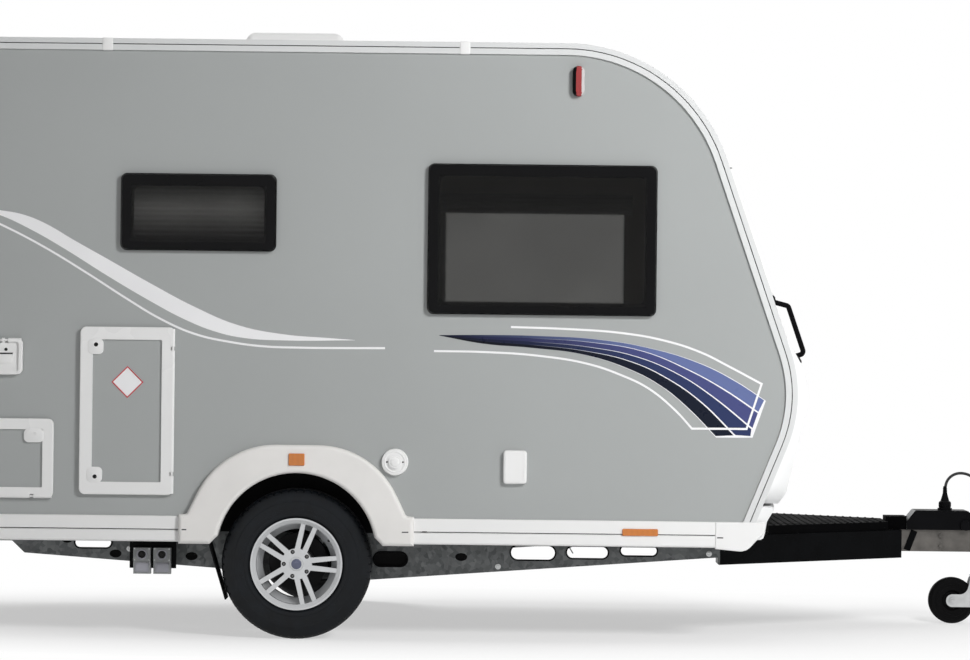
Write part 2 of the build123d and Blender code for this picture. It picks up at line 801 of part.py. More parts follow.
def front_wall():
    wall = bowed_band(SHELL_SEAT, SHELL_OUT) & front_zone(SHELL_HALF)
    return wall - end_window_cut(FRONT_WINDOW, (FRONT_SPLIT, FAR))


def rear_wall():
    band = body_face(SHELL_OUT) - body_face(SHELL_SEAT)
    wall = along_y(band, -SHELL_HALF, SHELL_HALF) & block((-FAR, REAR_SPLIT), (-FAR, FAR), (0, FAR))
    return wall - end_window_cut(REAR_WINDOW, (-FAR, REAR_SPLIT))


def roof():
    half = ROOF_LIGHT_HOLE / 2
    panel = block(
        (REAR_SPLIT, FRONT_SPLIT), (-SHELL_HALF, SHELL_HALF), (ROOF_EDGE + SHELL_SEAT, ROOF_EDGE + SHELL_OUT)
    )
    return panel - block((ROOF_LIGHT_X - half, ROOF_LIGHT_X + half), (-half, half), (0, FAR))


def floor_panel():
    """Floor between the side walls, bowed at the front and cut out over the wheels."""
    slab = (FLOOR_UNDER, FLOOR_UNDER + FLOOR_THICK)
    inside = SHELL_SEAT - FLOOR_GAP
    rear = along_y(body_face(inside), -WALL_IN, WALL_IN) & block((-FAR, 0), (-FAR, FAR), slab)
    front = bowed(body_face(inside, BOW_SAG)) & block((0, FAR), (-WALL_IN, WALL_IN), slab)
    panel = rear + front
    reach = LINER_R + LINER_WALL
    for side in (-1, 1):
        limits = sorted((side * (WALL_IN - LINER_DEPTH), side * FAR))
        panel -= block((-reach, reach), limits, (0, FAR))
    return panel


def wheel_liner():
    """Wheel box inside the body: a round-topped shell closed towards the cabin."""
    well = (WALL_IN - LINER_DEPTH, WALL_IN)

    def arch(radius, low, high):
        face = Pos(0, ARCH_OPEN_Z) * Circle(radius)
        face += Pos(0, ARCH_OPEN_Z / 2) * Rectangle(2 * radius, ARCH_OPEN_Z)
        return along_y(face, low, high) & block((-FAR, FAR), (-FAR, FAR), (FLOOR_UNDER, FAR))

    return arch(LINER_R + LINER_WALL, *well) - arch(LINER_R, well[0] + LINER_WALL, well[1])


def edge_trim():
    """Awning rail and corner moulding along the edge of the left side wall."""
    above = Pos(0, SKIRT_TOP + FAR / 2) * Rectangle(2 * FAR, FAR)
    outer, edge = body_face(SHELL_OUT) & above, body_face(0) & above
    seat = body_face(WALL_EDGE) & above
    trim = along_y(outer - edge, BODY_HALF, BODY_HALF + TRIM_PROUD)
    trim += along_y(outer - seat, SHELL_HALF, BODY_HALF)
    groove = body_face(TRIM_GROOVE_AT + TRIM_GROOVE) - body_face(TRIM_GROOVE_AT)
    trim -= along_y(groove, BODY_HALF + TRIM_PROUD / 2, BODY_HALF + 2 * TRIM_PROUD)
    return trim


def skirt_profile():
    """Section of the side skirt in (y, z), with the groove between its two ribs."""
    y, middle = BODY_HALF, (SKIRT_TOP + SKIRT_BOTTOM) / 2 - SKIRT_GROOVE_DOWN
    face, half = y + SKIRT_PROUD, SKIRT_GROOVE_HALF
    return rounded(
        [
            (y, SKIRT_TOP, 0),
            (face, SKIRT_TOP, SKIRT_TOP_ROUND),
            (face, middle + half, SKIRT_GROOVE_ROUND),
            (face - SKIRT_GROOVE_DEEP, middle, 0),
            (face, middle - half, SKIRT_GROOVE_ROUND),
            (face, SKIRT_BOTTOM, SKIRT_FOOT_ROUND),
            (y - SKIRT_RETURN, SKIRT_BOTTOM, 0),
            (y - SKIRT_RETURN, FLOOR_UNDER, 0),
            (y, FLOOR_UNDER, 0),
        ]
    )


def skirts():
    """Left side: rear run, front run and the moulded cap at each end."""
    front = along_x(skirt_profile(), ARCH_FOOT, SKIRT_FRONT)
    rear = along_x(skirt_profile(), SKIRT_REAR, -ARCH_FOOT)
    nose = rounded(
        [
            (SKIRT_FRONT, SKIRT_TOP, 0),
            (CAP_FRONT, SKIRT_TOP, 0),
            (CAP_FRONT, SKIRT_TOP - CAP_LIP, CAP_LIP_ROUND),
            (CAP_FRONT - CAP_RAKE, CAP_BOTTOM, CAP_FOOT_ROUND),
            (SKIRT_FRONT, CAP_BOTTOM + CAP_SEAM_RISE, 0),
        ]
    )
    tail_x = BODY_CORNERS[0][0] - SHELL_OUT
    tail = rounded(
        [
            (SKIRT_REAR, SKIRT_TOP, 0),
            (tail_x, SKIRT_TOP, 0),
            (tail_x, SKIRT_BOTTOM, TAIL_ROUND),
            (SKIRT_REAR, SKIRT_BOTTOM, 0),
        ]
    )
    caps = []
    for face in (nose, tail):
        cap = along_y(face, BODY_HALF, BODY_HALF + SKIRT_PROUD + CAP_PROUD)
        caps.append(rounded_out(cap, CAP_EDGE_ROUND))
    return [front, rear, *caps]


def wheel_arch():
    """Moulded wheel arch on the left wall, with feet that close the skirt's ends."""
    left = [
        (-ARCH_FOOT, ARCH_FOOT_BOTTOM, 0),
        (-ARCH_FOOT, ARCH_FOOT_TOP, ARCH_FOOT_ROUND),
        (-ARCH_FOOT + ARCH_STEP, ARCH_FOOT_TOP + ARCH_STEP_RISE, ARCH_STEP_ROUND),
        (-ARCH_HAUNCH, ARCH_TOP, ARCH_HAUNCH_ROUND),
    ]
    right = [(-x, z, radius) for x, z, radius in reversed(left)]
    face = rounded(left + right)
    face -= Pos(0, ARCH_OPEN_Z) * Circle(ARCH_OPEN_R)
    flare = sqrt(ARCH_OPEN_R**2 - (FLOOR_UNDER - ARCH_OPEN_Z) ** 2)
    face -= make_face(
        Polyline(
            (-flare, FLOOR_UNDER),
            (-ARCH_FOOT_IN, ARCH_FOOT_BOTTOM),
            (ARCH_FOOT_IN, ARCH_FOOT_BOTTOM),
            (flare, FLOOR_UNDER),
            close=True,
        )
    )
    return rounded_out(along_y(face, BODY_HALF, BODY_HALF + ARCH_PROUD), ARCH_EDGE_ROUND)


def front_moulding():
    """Bulged moulding on the lower front wall."""
    face = rounded([(x + BOW_SAG, z, radius) for x, z, radius in MOULDING_CORNERS])
    face -= body_face(SHELL_OUT, BOW_SAG)
    tall = MOULDING_CORNERS[0][1] - MOULDING_CORNERS[4][1]
    middle = (MOULDING_CORNERS[0][1] + MOULDING_CORNERS[4][1]) / 2
    limit = Pos(0, middle) * RectangleRounded(2 * MOULDING_HALF, tall + MOULDING_SPARE, MOULDING_CORNER)
    return bowed(face) & along_x(limit, FRONT_SPLIT, FAR)


def front_sill():
    """Sill along the foot of the front wall."""
    face = rounded([(x + BOW_SAG, z, radius) for x, z, radius in SILL_CORNERS])
    face -= body_face(SHELL_OUT, BOW_SAG)
    return bowed(face) & front_zone(SHELL_HALF)


def rear_bumper():
    """Bumper along the foot of the rear wall, rounded at its two ends."""
    inner = BODY_CORNERS[0][0] - SHELL_OUT / 2
    face = rounded(
        [
            (-REAR_REACH, BUMPER_TOP - BUMPER_LIP, BUMPER_ROUND),
            (-REAR_REACH, BUMPER_BOTTOM, BUMPER_ROUND),
            (inner, BUMPER_BOTTOM, 0),
            (inner, BUMPER_TOP, 0),
            (-REAR_REACH + BUMPER_LIP, BUMPER_TOP, BUMPER_ROUND / 2),
        ]
    )
    under = Pos(0, FLOOR_UNDER - FAR / 2) * Rectangle(2 * FAR, FAR)
    face -= body_face(SHELL_OUT)
    face -= under & (Pos(BODY_CORNERS[0][0], 0) * Rectangle(2 * (SHELL_OUT - FLOOR_GAP), FAR))
    plan = Pos(FAR / 2 - REAR_REACH, 0) * RectangleRounded(FAR, 2 * SHELL_HALF, BUMPER_CORNER)
    return along_y(face, -SHELL_HALF, SHELL_HALF) & along_z(plan, 0, FAR)


# Windows


def window_frame(x, z, wide, tall):
    """Black frame of a side window: ring on the wall with a liner through it."""
    hole = plate_face(x, z, wide - 2 * WINDOW_BORDER, tall - 2 * WINDOW_BORDER, PANE_ROUND)
    ring = plate_face(x, z, wide - 2 * PANE_EDGE_ROUND, tall - 2 * PANE_EDGE_ROUND, PANE_ROUND)
    inset = 2 * (WINDOW_BORDER + PANE_EDGE_ROUND)
    sight = plate_face(x, z, wide - inset, tall - inset, PANE_ROUND)
    frame = along_y(ring - sight, BODY_HALF, BODY_HALF + WINDOW_FRAME_PROUD)
    return frame + along_y(hole - sight, WALL_IN, BODY_HALF)


def window_pane(x, z, wide, tall):
    """Acrylic pane that laps over its frame, with rounded edges."""
    low = BODY_HALF + WINDOW_FRAME_PROUD + PANE_GAP
    pane = along_y(plate_face(x, z, wide, tall, PANE_ROUND), low, low + PANE_THICK)
    return rounded_out(pane, PANE_EDGE_ROUND)


def end_window_parts():
    """Frames and panes of the front and rear windows, bowed with their walls."""
    lap = END_PANE_LAP
    seat = SHELL_OUT + PANE_GAP
    frames, panes = [], []
    ring = end_window_cut(FRONT_WINDOW, (FRONT_SPLIT, FAR))
    ring -= end_window_cut(grown(FRONT_WINDOW, -lap), (FRONT_SPLIT, FAR))
    frames.append(bowed_band(SHELL_SEAT, SHELL_OUT) & ring)
    glass = end_window_cut(grown(FRONT_WINDOW, lap), (FRONT_SPLIT, FAR))
    panes.append(bowed_band(seat, seat + END_PANE_THICK) & glass)
    ring = end_window_cut(REAR_WINDOW, (-FAR, REAR_SPLIT))
    ring -= end_window_cut(grown(REAR_WINDOW, -lap), (-FAR, REAR_SPLIT))
    band = body_face(SHELL_OUT) - body_face(SHELL_SEAT)
    frames.append(along_y(band, -SHELL_HALF, SHELL_HALF) & ring)
    glass = end_window_cut(grown(REAR_WINDOW, lap), (-FAR, REAR_SPLIT))
    band = body_face(seat + END_PANE_THICK) - body_face(seat)
    panes.append(along_y(band, -SHELL_HALF, SHELL_HALF) & glass)
    return frames, panes


def windows():
    frames, panes = end_window_parts()
    for where, *size in SIDE_WINDOWS:
        parts = window_frame(*size), window_pane(*size)
        if where == "right":
            parts = [other_side(part) for part in parts]
        frames.append(parts[0])
        panes.append(parts[1])
    return frames, panes


def roof_light_dome(inset, rise):
    """Tapered dome of the roof light with a rounded crown."""
    size = ROOF_LIGHT_SIZE - 2 * inset
    foot = RectangleRounded(size, size, ROOF_LIGHT_ROUND - inset)
    dome = extrude(foot, amount=rise, taper=ROOF_LIGHT_TAPER)
    return fillet(dome.edges().group_by(Axis.Z)[-1], ROOF_LIGHT_CROWN)


def roof_light():
    """Raised base round the roof hole and the domed lid over it."""
    top = ROOF_EDGE + SHELL_OUT
    half = ROOF_LIGHT_HOLE / 2
    foot = RectangleRounded(ROOF_LIGHT_SIZE, ROOF_LIGHT_SIZE, ROOF_LIGHT_ROUND)
    base = along_z(foot, top, top + ROOF_LIGHT_BASE)
    base -= block((-half, half), (-half, half), (0, FAR))
    lid = roof_light_dome(0, ROOF_LIGHT_DOME)
    lid -= roof_light_dome(2 * ROOF_LIGHT_WALL, ROOF_LIGHT_DOME - ROOF_LIGHT_WALL)
    return [Pos(ROOF_LIGHT_X, 0, 0) * base, Pos(ROOF_LIGHT_X, 0, top + ROOF_LIGHT_BASE) * lid]


# Chassis


def rail():
    """Left chassis rail: a C of bent sheet, deepest at the axle, with lightening slots."""
    face = make_face(
        Polyline((RAIL_REAR, FLOOR_UNDER), *RAIL_LOWER, (RAIL_FRONT, FLOOR_UNDER), close=True)
    )
    inner = offset(face, amount=-RAIL_SHEET, kind=Kind.INTERSECTION)
    beam = along_y(face, RAIL_Y - RAIL_FLANGE, RAIL_Y)
    beam -= along_y(inner, RAIL_Y - 2 * RAIL_FLANGE, RAIL_Y - RAIL_SHEET)
    web_in, roof_in = RAIL_Y - RAIL_SHEET, FLOOR_UNDER - RAIL_SHEET
    beam -= block((RAIL_REAR, RAIL_REAR + RAIL_SHEET), (0, web_in), (0, roof_in))
    for x, z, long, tall in RAIL_SLOTS:
        slot = Pos(x, z) * SlotOverall(long, tall)
        beam -= along_y(slot, RAIL_Y - RAIL_FLANGE, RAIL_Y + RAIL_FLANGE)
    plate = (RAIL_LOWER[-1][1] - END_PLATE_DROP, FLOOR_UNDER - FLOOR_GAP)
    return beam + block((RAIL_FRONT, RAIL_FRONT + END_PLATE), (RAIL_Y - END_PLATE_IN, RAIL_Y), plate)


def cross_members():
    """Channels between the rails, open underneath."""
    reach = RAIL_Y - RAIL_FLANGE
    parts = []
    for x, low in CROSS_MEMBERS:
        half = CROSS_WIDE / 2
        channel = block((x - half, x + half), (-reach, reach), (low, FLOOR_UNDER))
        inside = half - RAIL_SHEET
        channel -= block((x - inside, x + inside), (-FAR, FAR), (0, FLOOR_UNDER - RAIL_SHEET))
        parts.append(channel - brake_rod(BRAKE_ROD_HOLE_R))
    return parts


def drawbar():
    """Left leg of the A-frame: a C section from the rail's end plate to the overrun housing."""
    root = Vector(RAIL_FRONT + END_PLATE, DRAWBAR_ROOT_Y)
    tip = Vector(DRAWBAR_TIP_X, DRAWBAR_TIP_Y)
    way = tip - root
    turn = degrees(atan2(way.Y, way.X))
    low = DRAWBAR_TOP - DRAWBAR_TALL
    reach = (-DRAWBAR_SPARE, way.length + DRAWBAR_SPARE)
    beam = block(reach, (-DRAWBAR_FLANGE, 0), (low, DRAWBAR_TOP))
    beam -= block(
        (-FAR, FAR), (-FAR, -DRAWBAR_SHEET), (low + DRAWBAR_SHEET, DRAWBAR_TOP - DRAWBAR_SHEET)
    )
    beam = Pos(root.X, root.Y, 0) * Rot(0, 0, turn) * beam
    return beam & block((root.X, tip.X), (HOUSING_HALF, FAR), (0, FAR))


def drawbar_y(x):
    """Outer line of the A-frame at a given x."""
    share = (x - RAIL_FRONT - END_PLATE) / (DRAWBAR_TIP_X - RAIL_FRONT - END_PLATE)
    return DRAWBAR_ROOT_Y + share * (DRAWBAR_TIP_Y - DRAWBAR_ROOT_Y)


def drawbar_cover():
    """Moulded tread cover over the A-frame and the step block at its front end."""
    top = DRAWBAR_TOP + COVER_TALL

    def plan(inset):
        rear, front = COVER_REAR + inset, COVER_FRONT - inset
        wide, narrow = [drawbar_y(x) - COVER_SIDE_IN - inset for x in (COVER_REAR, COVER_FRONT)]
        return make_face(Polyline((rear, -wide), (rear, wide), (front, narrow), (front, -narrow), close=True))

    cover = along_z(plan(0), DRAWBAR_TOP, top)
    cover -= along_z(plan(COVER_WALL), DRAWBAR_TOP, top - COVER_WALL)
    step = (DRAWBAR_TOP, DRAWBAR_TOP + STEP_TALL)
    return [cover, block((COVER_FRONT, TOP_COVER_REAR), (-STEP_HALF, STEP_HALF), step)]


def overrun_housing():
    """Steel housing of the overrun device between the tips of the A-frame."""
    top = DRAWBAR_TOP
    box = block((HOUSING_REAR, HOUSING_FRONT), (-HOUSING_HALF, HOUSING_HALF), (HOUSING_BOTTOM, top))
    nose = [e for e in box.edges().filter_by(Axis.Y) if e.center().X > HOUSING_FRONT - 1]
    box = chamfer(nose, HOUSING_NOSE)
    bore = HOUSING_FRONT - SHAFT_LAP - SHAFT_END_GAP
    box -= rod((bore, 0, SHAFT_Z), (FAR, 0, SHAFT_Z), SHAFT_R + STUB_RUN)
    end = lead_points()[-1]
    return box + rod((end.X, -HOUSING_HALF, end.Z), tuple(end), GLAND_R)


def top_cover():
    """Black moulded cover on the housing, with the parking socket for the plug."""
    low, side, high = DRAWBAR_TOP, DRAWBAR_TOP + TOP_COVER_SIDE, DRAWBAR_TOP + TOP_COVER_TALL
    rear, front = TOP_COVER_REAR, TOP_COVER_REAR + TOP_COVER_LONG
    face = rounded(
        [
            (rear, low, 0),
            (rear, side, TOP_COVER_ROUND / 2),
            (rear + TOP_COVER_REAR_RAKE, high, TOP_COVER_ROUND),
            (front - TOP_COVER_FRONT_RAKE, high, TOP_COVER_ROUND),
            (front, side, TOP_COVER_ROUND),
            (front, low, 0),
        ]
    )
    inner = offset(face, amount=-COVER_WALL, kind=Kind.INTERSECTION)
    half = TOP_COVER_HALF
    cover = along_y(face, -half, half)
    cover -= along_y(inner, COVER_WALL - half, half - COVER_WALL)
    mouth = (0, low + 2 * COVER_WALL)
    cover -= block((rear + COVER_WALL, front - COVER_WALL), (COVER_WALL - half, half - COVER_WALL), mouth)
    return cover + rod((PLUG_X, 0, high - COVER_WALL), (PLUG_X, 0, high + SOCKET_PROUD), PLUG_R + SOCKET_LIP)


def plug():
    """Lead plug parked in its socket: body, grip ring and tapered boot."""
    low = DRAWBAR_TOP + TOP_COVER_TALL + SOCKET_PROUD
    tall = PLUG_TOP - low
    face = rounded(
        [
            (0, 0, 0),
            (PLUG_R, 0, 0),
            (PLUG_R, PLUG_BODY_SHARE * tall, PLUG_ROUND),
            (PLUG_NECK_R, PLUG_NECK_SHARE * tall, PLUG_ROUND / 2),
            (PLUG_BOOT_R, tall, PLUG_ROUND / 2),
            (0, tall, 0),
        ]
    )
    return Pos(PLUG_X, 0, low) * revolve(Plane.XZ * face, axis=Axis.Z)


def lead_points():
    return [Vector(PLUG_X + x, y, z) for x, y, z in LEAD_ROUTE]


def lead():
    """Round lead along its route, with arcs as large as the runs allow."""
    points = lead_points()
    radii = []
    for before, here, after in zip(points, points[1:], points[2:]):
        run_in, run_out = here - before, after - here
        half_turn = radians(run_in.get_angle(run_out)) / 2
        radii.append(0.45 * min(run_in.length, run_out.length) / tan(half_turn))
    path = FilletPolyline(*points, radius=radii)
    print("lead length", round(path.length), "tightest radius", round(min(radii)))
    start = Plane(origin=points[0], z_dir=points[1] - points[0])
    return sweep(start * Circle(LEAD_R), path=path)


def coupling_shaft():
    """Overrun shaft from inside the housing into the coupling head."""
    return rod((HOUSING_FRONT - SHAFT_LAP, 0, SHAFT_Z), (GAITER_FRONT + HEAD_SOCKET, 0, SHAFT_Z), SHAFT_R)


def gaiter():
    """Ribbed rubber gaiter between housing and coupling head."""
    pitch = GAITER_LONG / GAITER_RIBS
    bore = SHAFT_R + RIM_FIT
    points = [(bore, 0)]
    for rib in range(GAITER_RIBS):
        points += [(GAITER_R - GAITER_RIB, pitch * rib), (GAITER_R, pitch * (rib + 0.5))]
    points += [(GAITER_R - GAITER_RIB, GAITER_LONG), (bore, GAITER_LONG)]
    face = make_face(Polyline(*points, close=True))
    turned = revolve(Plane.XZ * face, axis=Axis.Z)
    return Plane(origin=(HOUSING_FRONT, 0, SHAFT_Z), z_dir=(1, 0, 0)) * turned


def coupling_head():
    """Pressed head on the shaft: tube, ball cup with its mouth below, and release lever."""
    ball_x = HITCH_REACH - HEAD_R
    centre = HEAD_BOTTOM + BALL_SEAT
    cup = Pos(ball_x, 0, 0) * extrude(
        Pos(0, 0, HEAD_BOTTOM) * Circle(HEAD_R), amount=BALL_SEAT + BALL_R + HEAD_CROWN
    )
    crown = [e for e in cup.edges() if e.center().Z > centre]
    cup = fillet(crown, HEAD_CROWN)
    tube = rod((GAITER_FRONT, 0, SHAFT_Z), (ball_x, 0, SHAFT_Z), HEAD_TUBE_R)
    tube = tube & block((-FAR, FAR), (-FAR, FAR), (HEAD_BOTTOM, FAR))
    top = centre + BALL_R + HEAD_CROWN
    lever = rounded([(ball_x + x, top + z, radius) for x, z, radius in RELEASE_LEVER])
    head = cup + tube + along_y(lever, -RELEASE_HALF, RELEASE_HALF)
    head -= Pos(ball_x, 0, HEAD_BOTTOM) * Cylinder(
        BALL_R, BALL_SEAT, align=(Align.CENTER, Align.CENTER, Align.MIN)
    )
    head -= Pos(ball_x, 0, centre) * Sphere(BALL_R)
    return head - rod((0, 0, SHAFT_Z), (GAITER_FRONT + HEAD_SOCKET, 0, SHAFT_Z), SHAFT_R + RIM_FIT)


def brake_lever():
    """Handbrake lever on the right of the housing: pivot boss, flat lever and grip."""
    side = -TOP_COVER_HALF
    y = side - BRAKE_LEVER_OUT
    x, z = HOUSING_FRONT - BRAKE_LEVER_BACK, BRAKE_LEVER_Z
    tip = (x + BRAKE_LEVER_REACH, y, z + BRAKE_LEVER_RISE)
    grip = (x + BRAKE_GRIP_FROM * BRAKE_LEVER_REACH, y, z + BRAKE_GRIP_FROM * BRAKE_LEVER_RISE)
    boss = rod((x, side, z), (x, y - BRAKE_BOSS_OUT, z), BRAKE_BOSS_R)
    return boss + rod((x, y, z), tip, BRAKE_BAR_R) + rod(grip, tip, BRAKE_GRIP_R)


def brake_rod(radius=BRAKE_ROD_R):
    """Rod under the floor from the axle to the overrun device."""
    start = AXLE_FORE + AXLE_HEX / 2 / cos(radians(30)) + RIM_FIT
    return rod((start, 0, AXLE_Z), (HOUSING_REAR - RIM_FIT, 0, BRAKE_ROD_Z), radius)


# Axle and wheels


def axle_beam():
    """Hexagonal torsion tube between the rails."""
    reach = RAIL_Y - RAIL_SHEET
    hexagon = Pos(AXLE_FORE, AXLE_Z) * RegularPolygon(AXLE_HEX / 2, 6, major_radius=False)
    inner = Pos(AXLE_FORE, AXLE_Z) * RegularPolygon(AXLE_HEX / 2 - AXLE_WALL, 6, major_radius=False)
    return along_y(hexagon, -reach, reach) - along_y(inner, AXLE_PLUG - reach, reach - AXLE_PLUG)


def swing_arm():
    """Left trailing arm with its pivot boss, brake plate and stub axle."""
    low, high = RAIL_Y, RAIL_Y + ARM_THICK
    plate = high + ARM_STEP
    boss = rod((AXLE_FORE, low, AXLE_Z), (AXLE_FORE, high, AXLE_Z), ARM_BOSS_R)
    end = rod((0, low + ARM_WEB_IN, TYRE_R), (0, plate, TYRE_R), ARM_END_R)
    web = make_face(
        Polyline(
            (AXLE_FORE, AXLE_Z + ARM_BOSS_R - ARM_WEB_IN),
            (0, TYRE_R + ARM_END_R - ARM_WEB_IN),
            (0, TYRE_R - ARM_END_R + ARM_WEB_IN),
            (AXLE_FORE, AXLE_Z - ARM_BOSS_R + ARM_WEB_IN),
            close=True,
        )
    )
    arm = boss + end + along_y(web, low + ARM_WEB_IN, high - ARM_WEB_IN)
    arm += rod((0, plate, TYRE_R), (0, plate + BRAKE_PLATE, TYRE_R), DRUM_R - BRAKE_PLATE_IN)
    return arm + rod((0, plate + BRAKE_PLATE, TYRE_R), (0, WHEEL_Y + STUB_OUT, TYRE_R), STUB_R)


def hub_drum():
    """Left brake drum with its hub nose, bored to turn on the stub axle."""
    low = RAIL_Y + ARM_THICK + ARM_STEP + BRAKE_PLATE + DRUM_GAP
    face = WHEEL_Y + RIM_SEAT
    drum = rod((0, low, TYRE_R), (0, low + DRUM_WIDE, TYRE_R), DRUM_R)
    drum += rod((0, low + DRUM_WIDE, TYRE_R), (0, face, TYRE_R), HUB_R + DRUM_NOSE)
    drum += rod((0, face, TYRE_R), (0, face + HUB_CAP_PROUD, TYRE_R), HUB_CAP_R)
    return drum - rod((0, 0, TYRE_R), (0, WHEEL_Y + STUB_OUT + STUB_RUN, TYRE_R), STUB_R + STUB_RUN)


def turned_on_axle(points):
    """Revolves (radius, distance from the wheel's middle) rows about the left wheel's axle."""
    face = rounded(points)
    ring = revolve(Plane.XZ * face, axis=Axis.Z)
    return Plane(origin=(0, WHEEL_Y, TYRE_R), x_dir=(1, 0, 0), z_dir=(0, 1, 0)) * ring


def tyre():
    """Left tyre: bulged side walls, rounded shoulders and four grooves round the tread."""
    half, bead = TYRE_WIDE / 2, RIM_WIDE / 2 - TYRE_BEAD_IN
    section = [
        (TYRE_BEAD_R, -bead, 0),
        (RIM_LIP_R + TYRE_LIP_GAP, -bead, 0),
        (RIM_LIP_R + TYRE_BULGE_UP, -half + TYRE_SIDE_IN, 0),
        (RIM_LIP_R + TYRE_WIDEST_SHARE * (TYRE_R - RIM_LIP_R), -half, 0),
        (TYRE_R - TYRE_SHOULDER, -half + TYRE_SIDE_IN, 0),
        (TYRE_R - TYRE_EDGE_DOWN, -half + TYRE_EDGE_IN, 0),
        (TYRE_R, -half + TYRE_TREAD_IN, 0),
    ]
    section += [(radius, -y, corner) for radius, y, corner in reversed(section)]
    ring = turned_on_axle(section)
    floor, top = TYRE_R - TREAD_GROOVE, TYRE_R + TREAD_GROOVE
    for at in TREAD_GROOVES_AT:
        low, high = at - TREAD_GROOVE_HALF, at + TREAD_GROOVE_HALF
        ring -= turned_on_axle([(floor, low, 0), (top, low, 0), (top, high, 0), (floor, high, 0)])
    return ring


def rim():
    """Left alloy wheel: barrel, hub and five pairs of spokes."""
    half, seat, lip = RIM_WIDE / 2, TYRE_BEAD_R - RIM_FIT, RIM_LIP_R
    well, bead, edge = seat - RIM_WELL_DEEP, half - RIM_FLANGE, half + TYRE_LIP_GAP
    # Outside of the barrel and, back along it, its inside: radius, distance from the wheel's middle
    outside = [(lip, -edge), (lip, -bead), (seat, -bead), (seat, -RIM_WELL_BACK), (well, -RIM_WELL_HALF)]
    outside += [(well, RIM_WELL_FRONT), (seat, RIM_SEAT_FRONT), (seat, bead), (lip, bead), (lip, edge)]
    inside = [(lip, edge), (seat, bead - RIM_FLANGE), (seat, RIM_SEAT_FRONT)]
    inside += [(well, RIM_WELL_FRONT), (well, -RIM_WELL_HALF), (seat, -RIM_WELL_BACK), (lip, -edge)]
    inside = [(radius - RIM_WALL, y) for radius, y in inside]
    barrel = turned_on_axle([(radius, y, 0) for radius, y in outside + inside])
    face = half - RIM_FACE_IN
    foot, reach = HUB_R - SPOKE_FOOT_IN, seat - RIM_WALL / 2
    foot_half, reach_half = SPOKE_FOOT_GROW * SPOKE_WIDE / 2, SPOKE_WIDE / 2
    pattern = Circle(HUB_R)
    for number in range(SPOKE_PAIRS):
        for sign in (-1, 1):
            near, far = sign * SPOKE_HUB_SPREAD, sign * SPOKE_RIM_SPREAD
            bar = make_face(
                Polyline(
                    (foot, near - foot_half),
                    (reach, far - reach_half),
                    (reach, far + reach_half),
                    (foot, near + foot_half),
                    close=True,
                )
            )
            pattern += Rot(0, 0, 180 + number * 360 / SPOKE_PAIRS) * bar
    middle = Plane(origin=(0, WHEEL_Y, TYRE_R), x_dir=(-1, 0, 0), z_dir=(0, 1, 0))
    standing = (Align.CENTER, Align.CENTER, Align.MIN)
    wheel = barrel + middle * extrude(Pos(0, 0, face - SPOKE_THICK) * pattern, amount=SPOKE_THICK)
    hub_tall = face - SPOKE_THICK / 2 - RIM_SEAT
    wheel += middle * (Pos(0, 0, RIM_SEAT) * Cylinder(HUB_R, hub_tall, align=standing))
    wheel -= middle * Cylinder(HUB_CAP_R + RIM_FIT, face - HUB_CAP_FACE, align=standing)
    for number in range(SPOKE_PAIRS):
        angle = radians(number * 360 / SPOKE_PAIRS)
        at = Pos(BOLT_CIRCLE_R * cos(angle), BOLT_CIRCLE_R * sin(angle), face - BOLT_HOLE_DEEP)
        wheel -= middle * (at * Cylinder(BOLT_HOLE_R, 2 * BOLT_HOLE_DEEP, align=standing))
    return wheel


def mudflap():
    """Left rubber flap behind the wheel, hung from the floor."""
    lean = [
        (FLAP_TOP_X, FLOOR_UNDER),
        (FLAP_TOP_X + FLAP_SHEET, FLOOR_UNDER),
        (FLAP_FOOT_X + FLAP_SHEET, FLAP_FOOT_Z),
        (FLAP_FOOT_X, FLAP_FOOT_Z),
    ]
    return along_y(make_face(Polyline(*lean, close=True)), WALL_IN - FLAP_WIDE, WALL_IN)


# Jockey wheel


def jockey_sleeve():
    """Clamp on the housing with the outer tube and its winding handle."""
    bottom, top = JOCKEY_SLEEVE_BOTTOM, JOCKEY_SLEEVE_TOP
    outer = JOCKEY_SLEEVE_R + JOCKEY_CLAMP_OUT
    clamp_top = min(bottom + JOCKEY_CLAMP_TALL, DRAWBAR_TOP)
    sleeve = rod((0, 0, bottom), (0, 0, top), JOCKEY_SLEEVE_R)
    sleeve += block((-outer, outer), (HOUSING_HALF - JOCKEY_Y, 0), (bottom, clamp_top))
    sleeve += rod((0, 0, bottom), (0, 0, clamp_top), outer)
    sleeve -= rod((0, 0, 0), (0, 0, top - JOCKEY_CAP), JOCKEY_STEM_R + JOCKEY_RUN)
    arm_z, reach = top + CRANK_ARM_UP, CRANK_ARM_LONG
    grip_low = arm_z - CRANK_ARM_R
    sleeve += rod((0, 0, top), (0, 0, top + CRANK_POST_TALL), CRANK_POST_R)
    sleeve += rod((0, 0, arm_z), (reach, 0, arm_z), CRANK_ARM_R)
    sleeve += rod((reach, 0, grip_low), (reach, 0, grip_low + CRANK_GRIP_TALL), CRANK_GRIP_R)
    return Pos(JOCKEY_X, JOCKEY_Y, 0) * sleeve


def jockey_stem():
    """Inner tube that winds up and down, with the pivot that the fork turns on."""
    foot, pivot = FORK_TOP + LEAF_GAP, FORK_TOP - FORK_PIVOT_DEEP
    stem = rod((0, 0, foot), (0, 0, JOCKEY_STEM_TOP), JOCKEY_STEM_R)
    stem -= rod((0, 0, foot + FORK_PIVOT_DEEP), (0, 0, FAR), JOCKEY_STEM_R - JOCKEY_TUBE_WALL)
    stem += rod((0, 0, pivot), (0, 0, foot + FORK_PIVOT_R), FORK_PIVOT_R)
    return Pos(JOCKEY_X, JOCKEY_Y, 0) * stem


